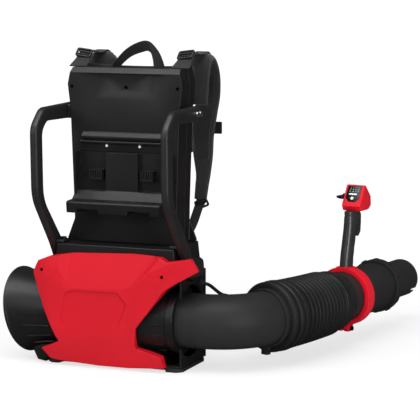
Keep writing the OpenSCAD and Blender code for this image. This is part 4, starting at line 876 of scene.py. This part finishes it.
grip_low, grip_high = lowest("grip_left").z - fan_z, highest("grip_left").z - fan_z
GRIP_W, GRIP_SHARP = 25.0, 50
grip_path = spline([
    (3, grip_low, 34, GRIP_W), (6, grip_low + 24, 33, GRIP_W), (12, grip_low + 50, 33, GRIP_W),
    (19, grip_low + 80, 34, GRIP_W), (27, grip_high, 44, GRIP_W + 1)], 12)
grip_rings = []
for y, z, deep, wide in grip_path:
    below = grip_high - z
    step = 0.9 if 8 < below < 10.5 else 0.0
    ring = []
    for a in turns(56):
        u = (wide / 2 - step) * squared(math.cos(a), 0.9)
        v = (deep / 2 - step) * squared(math.sin(a), 0.9)
        if 14 < below < 100:
            v += 0.9 * max(0, math.sin(a)) * math.sin((below - 14) / 22 * math.pi * 2)
        ring.append(on_handle(u, y + v, z))
    grip_rings.append(ring)
grip = sweep("grip_cover", grip_rings, LOOKS["grip_rubber"], None,
             ["grip_left", "grip_right"], sharp=GRIP_SHARP)
cutter_mesh = bpy.data.meshes.new("slot_cutter")
trigger_y, trigger_z = 36.0, 168.0
corners = [on_handle(x, y, z) * MM for x in (-8.2, 8.2) for y in (trigger_y - 8, trigger_y + 40)
           for z in (trigger_z - 57, trigger_z + 20)]
cutter_faces = [(0, 1, 3, 2), (4, 6, 7, 5), (0, 4, 5, 1), (2, 3, 7, 6), (0, 2, 6, 4), (1, 5, 7, 3)]
cutter_mesh.from_pydata([tuple(c) for c in corners], [], cutter_faces)
cutter = new_object("slot_cutter", cutter_mesh)
cut = grip.modifiers.new("slot", "BOOLEAN")
cut.object = cutter
cut.solver = "EXACT"
bpy.context.view_layer.update()
done = bpy.data.meshes.new_from_object(grip.evaluated_get(bpy.context.evaluated_depsgraph_get()))
grip.modifiers.clear()
grip.data = done
bpy.data.objects.remove(cutter)
smooth_faces(done, GRIP_SHARP)
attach(grip, "handle")

# seam down the rear of the grip, where the two halves meet
seam = [on_handle(0, y - deep / 2 - 0.05, z) for y, z, deep, wide in grip_path[3:-10]]
sweep("grip_seam", tube_rings(seam, 0.35, 6), LOOKS["keypad_plastic"], "handle")


# ---------------- keypad and thumb lever

KEY_TILT = deg(30)
key_in = math.cos(KEY_TILT) * tube_dir - math.sin(KEY_TILT) * UP
key_up = math.sin(KEY_TILT) * tube_dir + math.cos(KEY_TILT) * UP
power_centre = (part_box("power_button")[0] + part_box("power_button")[1]) / 2 / MM
key_origin = np.array(power_centre) - 18.5 * key_up
key_origin = key_origin - key_in * np.dot(key_origin - on_handle(0, 20, 185.8), key_in)


def on_keys(u, w, lift):
    """u across, w up the keypad's face."""
    return key_origin + u * tube_side + w * key_up - lift * key_in


def raised_mark(u, w, half_u, half_w, lift, thick):
    """A small rounded block on the keypad's face."""
    rings = []
    for grow, out in ((0, -thick), (0, lift - 0.12), (-0.12, lift)):
        rings.append([on_keys(u + (half_u + grow) * squared(math.cos(a), 0.4),
                              w + (half_w + grow) * squared(math.sin(a), 0.4), out) for a in turns(16, 0.5)])
    return sweep_mesh("mark", rings)


key_outline = rounded_outline(
    [(-17.0, 46.8), (-17.5, 19), (-8, 10.2), (8, 10.2), (14.8, 19), (14.5, 46.8)], 2.2, 4)
key_mid = np.mean(np.array(key_outline, float), axis=0)
key_rings = []
for inset, lift in ((0, -1.6), (0, 0.05), (0.15, 0.4), (0.5, 0.55)):
    key_rings.append([on_keys(*(q - unit(q - key_mid) * inset), lift) for q in key_outline])
sweep("keypad_plate", key_rings, LOOKS["keypad_plastic"], "handle", ["keypad_panel"])
marks = []
for row, w in enumerate((34.0, 38.6, 42.6)):
    for column in range(4):
        half_w = 0.9 if row < 2 else 0.5
        marks.append(raised_mark(-9.6 + column * 6.1, w, 1.7 - 0.35 * row, half_w, lift=0.72, thick=-0.4))
finish_mesh("keypad_marks", joined("keypad_marks", marks), PRINT, "handle")
bar = joined("mode_bar", [raised_mark(-1.2, 27.5, 9.6, 2.0, lift=1.7, thick=0.6)])
finish_mesh("mode_bar", bar, LOOKS["white_plastic"], "mode_key", ["mode_button"])
round_key = []
for r, lift in ((3.6, -0.5), (3.6, 1.3), (3.3, 1.65), (2.8, 1.8), (2.1, 1.55), (0.6, 1.4)):
    round_key.append([on_keys(-1.2 + r * math.cos(a), 18.2 + r * math.sin(a), lift) for a in turns(32)])
sweep("power_cap", round_key, LOOKS["white_plastic"], "power_key", ["power_button"])

# thumb lever: a wedge on a round boss
boss_x, boss_y, boss_z = -21.5, 37.0, 203.8
boss = []
for x, r in ((0.3, 6.4), (-3.4, 6.6), (-4.4, 6.0), (-4.6, 4.0)):
    boss.append([
        on_handle(boss_x + x, boss_y + r * math.cos(a), boss_z + r * math.sin(a)) for a in turns(28)])
wedge = []
for x, y0, y1, h in ((-0.4, -1, -18, 4.4), (-4, -2, -17.5, 4.2), (-8, -6, -16.5, 3.4),
                     (-11.5, -9, -15.5, 2.6), (-13.6, -10.6, -14.4, 1.7)):
    mid_y, half_y = (y0 + y1) / 2, abs(y1 - y0) / 2
    wedge.append([on_handle(boss_x + x, boss_y + mid_y + half_y * squared(math.cos(a), 0.5),
                            boss_z + h * squared(math.sin(a), 0.6)) for a in turns(24, 0.5)])
finish_mesh("cruise_wedge", joined("cruise_wedge", [sweep_mesh("boss", boss), sweep_mesh("wedge", wedge)]),
            LOOKS["buckle_plastic"], "cruise", ["cruise_lever"])


# ---------------- pads

PAD_INSET, PAD_STEPS = 1.0, 64
PIPING_R, PIPING_DROP = 1.8, 0.6


def cushion_mesh(name, node, channels):
    """A cushion in a CAD pad's place, grooved across, and the line of its front rim."""
    n, size = PAD_STEPS, PAD_STEPS + 1
    lo, hi = lowest(node), highest(node)
    half_w, half_h = (hi.x - lo.x) / 2 - PAD_INSET, (hi.z - lo.z) / 2 - PAD_INSET
    mid_z = (hi.z + lo.z) / 2
    depth = hi.y - lo.y - 0.4

    def pull(v):
        return 1 - 0.04 * (1 - v * v)

    def front_y(x, z, u, v):
        edge = max(0.0, (1 - abs(u) ** 5) * (1 - abs(v) ** 5)) ** 0.42
        away = abs((v * channels / 2 + 0.5) % 1 - 0.5) * half_h * 2 / channels * 2
        groove = math.exp(-(away / 3.2) ** 2)
        mid = math.exp(-(x / 5.5) ** 2) * (0.35 if abs(v) < 0.93 else 0)
        wrinkle = 0.35 * noise.noise(Vector((x * 0.035, z * 0.09, 3.1)))
        wrinkle += 0.5 * groove * noise.noise(Vector((x * 0.12, z * 0.02, 7.7)))
        crown = 0.3 + 0.7 * edge * (1 - 0.42 * max(groove, mid))
        return lo.y + depth * crown + wrinkle * edge

    shares = [-1 + 2 * i / n for i in range(size)]
    spots = [(u * half_w * pull(v), v * half_h * pull(u), u, v) for v in shares for u in shares]
    points = [(x, front_y(x, z, u, v), mid_z + z) for x, z, u, v in spots]
    points += [(x, lo.y, mid_z + z) for x, z, u, v in spots]
    off = size * size
    faces = []
    for a in [j * size + i for j in range(n) for i in range(n)]:
        b, c, d = a + 1, a + size + 1, a + size
        faces += [(a, b, c, d), (off + d, off + c, off + b, off + a)]
    rim = [*range(n), *range(n, n * size, size), *range(off - 1, n * size, -1), *range(n * size, 0, -size)]
    faces += [(b, a, off + a, off + b) for a, b in zip(rim, rim[1:] + rim[:1])]
    mesh = bpy.data.meshes.new(name)
    mesh.from_pydata([tuple(c * MM for c in p) for p in points], [], faces)
    face_outwards(mesh)
    return mesh, [points[k] for k in rim]


def piping_round(name, line):
    """A closed cord of binding round a pad's rim."""
    pts = [np.array(p) - np.array([0, PIPING_DROP, 0]) for p in line]
    n = len(pts)
    smooth = []
    for i in range(n):
        total = pts[i - 2] + 2 * pts[i - 1] + 3 * pts[i] + 2 * pts[(i + 1) % n] + pts[(i + 2) % n]
        smooth.append(total / 9)
    rings = []
    for i in range(n):
        t = unit(smooth[(i + 1) % n] - smooth[i - 1])
        a = np.array([0, 1.0, 0])
        b = np.cross(t, a)
        rings.append([smooth[i] + PIPING_R * (math.cos(q) * a + math.sin(q) * b) for q in turns(10)])
    sweep(name, rings, PIPING, "pack", closed_path=True, sharp=60)


for node, channels in (("back_pad", 4), ("lumbar_pad", 2)):
    mesh, rim = cushion_mesh(node + "_cover", node, channels)
    pad = finish_mesh(node + "_cover", mesh, LINING, "pack", [node], sharp=60)
    piping_round(node + "_piping", rim)


# ---------------- shoulder straps

root_y = highest("back_pad").y + 7.4
crown_z = highest("back_panel").z + 20
STRAP_X, STRAP_T = 101.0, 14.0
strap_route = [
    (4, -95, 10, 22), (9, -60, 10, 23), (15, -28, 8, 25), (26, -7, 5, 27.5), (43, -1, 3.5, 28),
    (60, -14, 7, 25.5), (70, -42, 10, 24), (72, -80, 9, 24), (66, -118, 5, 24), (57, -160, 2, 23.5),
    (46, -200, 7.5, 20), (34, -236, 12.5, 14.8), (25, -258, 13.3, 13.4), (15, -284, 14.2, 12.2),
]
strap_line = spline([(root_y + a, crown_z + b, STRAP_X + c, d) for a, b, c, d in strap_route], 7)


def strap_frame(i):
    """Middle point, direction and outward normal at step i of the strap, with its half width."""
    last = len(strap_line) - 1
    y, z, x, half = strap_line[i]
    a, b = strap_line[max(0, i - 1)], strap_line[min(last, i + 1)]
    run = unit([b[0] - a[0], b[1] - a[1]])
    return np.array([x, y, z]), np.array([0, run[0], run[1]]), np.array([0, -run[1], run[0]]), half


def droop_at(i, q):
    """How far the strap's edge sags where it lies over the shoulder, more where q is below 0."""
    s = i / (len(strap_line) - 1)
    return 11.5 * math.exp(-((s - 0.3) / 0.13) ** 2) * (1 if q < 0 else 0.35)


def mirror(p, side):
    return np.array([side * p[0], p[1], p[2]])


for side, label in SIDES:
    rings = []
    edges = {-1: [], 1: []}
    last = len(strap_line) - 1
    for i in range(len(strap_line)):
        mid, run, out, half = strap_frame(i)
        end = min(1.0, 0.55 + 0.15 * min(i, last - i))
        ring = []
        for a in turns(44):
            w = half * squared(math.cos(a), 0.5)
            h = end * STRAP_T / 2 * squared(math.sin(a), 0.62)
            inside = half - abs(w)
            h *= 1 - 0.22 * math.exp(-((inside - 7) / 1.5) ** 2)
            layer = side * 5 + (3 if math.sin(a) > 0 else 8)
            h += 0.5 * noise.noise(Vector((w * 0.05, i * 0.35, layer))) * min(1, inside / 6)
            h -= droop_at(i, w) * (w / half) ** 2
            ring.append(mirror(mid + np.array([w, 0, 0]) + h * out, side))
        rings.append(ring)
        for q in (-1, 1):
            edges[q].append(mirror(mid + np.array([q * (half - 1.2), 0, 0]) - droop_at(i, q) * out, side))
    strap = sweep(f"shoulder_strap_{label}_cover", rings, LOOKS["pad_fabric"], "pack",
                  [f"shoulder_strap_{label}"], sharp=60)
    for q, word in ((-1, "a"), (1, "b")):
        sweep(f"strap_binding_{label}_{word}", tube_rings(edges[q], 2.3, 10), PIPING,
              "pack", sharp=60)


# ---------------- webbing

WEB_W, WEB_T = 25.0, 1.9
FRAME_R, FRAME_DEPTH = 2.1, 5.0


def tri_glide(name, centre, across, up, wide, tall, bars, replaced):
    """A moulded slider: a rounded frame with bars across it."""
    centre, across, up = np.array(centre, float), unit(across), unit(up)
    face = np.cross(across, up)
    half_w, half_h = wide / 2 - FRAME_R, tall / 2 - FRAME_R

    def at(u, v, out):
        return centre + across * u + up * v + face * out

    corners = [(half_w, half_h), (-half_w, half_h), (-half_w, -half_h), (half_w, -half_h)]
    path = rounded_outline(corners, 3.2, 5)
    n = len(path)
    rings = []
    for k, (x, y) in enumerate(path):
        t = unit(path[(k + 1) % n] - path[k - 1])
        rings.append([at(x + FRAME_R * math.cos(a) * t[1], y - FRAME_R * math.cos(a) * t[0],
                         FRAME_DEPTH / 2 * squared(math.sin(a), 0.6)) for a in turns(16)])
    parts = [sweep_mesh("frame", rings, closed_path=True)]
    for v, thick in bars:
        bar = [[at(u, v + thick * math.cos(a), 0.8 + FRAME_DEPTH * 0.36 * math.sin(a)) for a in turns(14)]
               for u in np.linspace(-half_w, half_w, 9)]
        parts.append(sweep_mesh("bar", bar))
    mesh = joined(name, parts)
    finish_mesh(name, mesh, LOOKS["buckle_plastic"], "pack", replaced, sharp=60)


LIFTER_X, LIFTER_TILT = STRAP_X + 8, 47
BUCKLE_LEAN = deg(22)


def smooth_ribbon(name, rows, thickness, replaced=(), steps=6, look=LOOKS["webbing"]):
    """rows: x, y, z, side direction x, y, z, width."""
    line = spline(rows, steps)
    rings = ribbon_rings([r[:3] for r in line], [r[3:6] for r in line], [r[6] for r in line], thickness)
    sweep(name, rings, look, "pack", replaced, sharp=50)


def mirrored(rows, side):
    return [(side * x, y, z, u, v, side * w, width) for x, y, z, u, v, w, width in rows]


strap_tops = [mid + (STRAP_T / 2 + 1.2) * out for mid, run, out, half in map(strap_frame, (24, 27, 30, 33))]
for side, label in SIDES:
    rows = [(tower_front + 22, tower_top + 0.6, 38), (tower_front + 34, tower_top + 8.2, 34),
            (tower_front + 43, tower_top + 14.9, 29), (tower_front + 63, tower_top + 28, 27),
            (tower_front + 77, tower_top + 29.3, 26), (root_y - 2, tower_top + 25.4, 25.5)]
    rows += [(p[1], p[2], WEB_W) for p in strap_tops]
    rows = [(side * LIFTER_X, y, z, 1, 0, 0, w) for y, z, w in rows]
    smooth_ribbon(f"lifter_webbing_{label}", rows, WEB_T, ["lifter_straps"])
    centre = (side * LIFTER_X, tower_front + 50.5, tower_top + 25.5)
    up = (0, math.sin(deg(LIFTER_TILT)), math.cos(deg(LIFTER_TILT)))
    tri_glide(f"lifter_buckle_{label}", centre, (1, 0, 0.12 * side), up, 34, 22,
              ((2.5, 1.9), (-4.5, 1.5)), ["lifter_buckles"])

strap_end = strap_line[-1]
buckle_z = lowest("lower_buckles").z + 14
buckle_y = (lowest("lower_buckles").y + highest("lower_buckles").y) / 2
plate_rear, plate_foot = highest("back_plate").y, lowest("back_plate").z
for side, label in SIDES:
    x0 = strap_end[2]
    centre = (side * (x0 + 3), buckle_y + 1, buckle_z + 5)
    across = (side * math.cos(BUCKLE_LEAN), 0, math.sin(BUCKLE_LEAN))
    up = (-side * math.sin(BUCKLE_LEAN), -0.25, math.cos(BUCKLE_LEAN))
    tri_glide(f"lower_buckle_{label}", centre, across, up, 29, 19, ((1.0, 2.2),), ["lower_buckles"])
    rows = [(x0 - 15.5, plate_rear + 1.2, plate_foot + 3, 1, 0, 0, 19),
            (x0 - 14.5, plate_rear + 10, plate_foot + 13, 1, 0, 0, 19),
            (x0 - 9.5, plate_rear + 23.5, plate_foot + 31, 0.98, 0, 0.12, 19.5),
            (x0 - 2.5, buckle_y - 1.2, buckle_z - 2, 0.94, 0, 0.3, 20),
            (x0 + 1, buckle_y + 1.4, buckle_z + 6, 0.93, 0, 0.35, 20),
            (x0 + 3, buckle_y + 4.6, buckle_z + 13, 0.95, 0, 0.28, 20)]
    smooth_ribbon(f"lower_webbing_{label}", mirrored(rows, side), WEB_T, ["lower_straps"])
    rows = [(x0 + 3.4, buckle_y + 1.6, buckle_z + 9, 0.93, 0, 0.36, 20),
            (x0 + 3, buckle_y - 1.5, buckle_z + 13, 0.94, 0, 0.32, 20.5),
            (x0 + 2, buckle_y + 1, buckle_z + 22, 0.97, 0, 0.2, 21.5),
            (x0, buckle_y + 5.5, buckle_z + 30, 1, 0, 0, 22)]
    smooth_ribbon(f"buckle_loop_{label}", mirrored(rows, side), 3.0)
    # lining on the wearer's side, with a darker window at the top
    for word, steps, share, look, thick in (("window", range(41, 53), 0.56, LINING, 1.4),
                                            ("panel", range(54, 73), 0.74, PANEL, 1.6)):
        rows = []
        for mid, run, out, half in map(strap_frame, steps):
            p = mid - (STRAP_T / 2 + 0.1) * out
            rows.append((*mirror(p, side), 1, 0, 0, 2 * half * share))
        smooth_ribbon(f"strap_{word}_{label}", rows, thick, steps=2, look=look)

# seen: how much of the haul loop's width lies in the plane of its arch
haul_y = (lowest("haul_loop").y + highest("haul_loop").y) / 2
haul_rows = []
for x, z, slope, seen in (
        (-45, -1.5, 42, 0.28), (-27, 17, 38, 0.42), (-12, 28.5, 32, 0.6), (8, 37.5, 18, 0.78),
        (25, 41, -22, 0.85), (37, 33, -55, 0.8), (45, 18, -70, 0.92), (50, -1.5, -81, 0.99)):
    across = (seen * math.sin(deg(slope)), math.sqrt(1 - seen * seen), -seen * math.cos(deg(slope)))
    haul_rows.append((x, haul_y, tower_top + z, *across, WEB_W))
smooth_ribbon("haul_webbing", haul_rows, WEB_T, ["haul_loop"])

lo, hi = lowest("sternum_strap"), highest("sternum_strap")
chest_mid = (lo + hi) / 2
for side, label in SIDES:
    rows = [(side * x, chest_mid.y, chest_mid.z - sag, 0, 0, 1, 20)
            for x, sag in ((21, 0), (45, 0.6), (70, 0.5), (hi.x + 2, 0))]
    smooth_ribbon(f"chest_webbing_{label}", rows, 1.7, ["sternum_strap"])


# ---------------- floor and light

FLOOR_HALF, FLOOR_DROP = 60, 0.0005
floor_mesh = bpy.data.meshes.new("floor")
floor_corners = [(x * FLOOR_HALF, y * FLOOR_HALF, 0) for x, y in ((-1, -1), (1, -1), (1, 1), (-1, 1))]
floor_mesh.from_pydata(floor_corners, [], [(0, 1, 2, 3)])
floor = new_object("floor", floor_mesh)
floor.location.z = -FLOOR_DROP

# near the object the camera sees a share of the lit floor with its shadows, further off plain white
ground = Shader("stage_floor")
ray = ground.add("LightPath").outputs
reach = ground.add("VectorMath")
reach.operation = "LENGTH"
ground.put(reach, 0, ground.place())
fade = ground.ranged(reach.outputs["Value"], 0.66, 1.0, 0.35, 1.7)
fade.node.interpolation_type = "SMOOTHSTEP"
white = ground.add("Emission", Strength=1.06)
seen = ground.math("MULTIPLY", ray["Is Camera Ray"], fade)
blend = ground.add("MixShader")
for k, source in enumerate((seen, ground.surface.outputs[0], white.outputs[0])):
    ground.put(blend, k, source)
ground.set(Base_Color=ground.ranged(ray["Is Glossy Ray"], 0.9, 0.06, 0, 1), Roughness=0.9)
ground.put(ground.tree.nodes["Material Output"], "Surface", blend.outputs[0])
floor_mesh.materials.append(ground.material)

# the room: white to the camera, under half as bright to dull surfaces, nearly dark in reflections
world = bpy.data.worlds.new("studio")
bpy.context.scene.world = world
room = Shader("studio", world)
ray = room.add("LightPath").outputs
unseen = room.ranged(ray["Is Diffuse Ray"], 0.07, 0.42, 0, 1)
room.set(Color=(1, 1, 1, 1), Strength=room.ranged(ray["Is Camera Ray"], unseen, 1.0, 0, 1))

MIDDLE = Vector((0.1, 0.1, 0.3))


def softbox(name, place, size, watts):
    """A lit rectangle facing the object's middle."""
    light = bpy.data.lights.new(name, "AREA")
    light.shape = "RECTANGLE"
    light.size, light.size_y = size
    light.energy = watts
    obj = new_object(name, light)
    obj.location = place
    obj.rotation_euler = (MIDDLE - Vector(place)).to_track_quat("-Z", "Y").to_euler()


softbox("key", (-1.6, -2.7, 1.5), (1.3, 1.3), 12)
softbox("strip", (2.15, -1.65, 0.55), (0.3, 1.5), 24)
softbox("top", (0.05, -0.8, 2.3), (2.4, 1.5), 48)

bpy.context.scene.view_settings.view_transform = "Standard"

# ---------------- finish

bpy.context.view_layer.update()
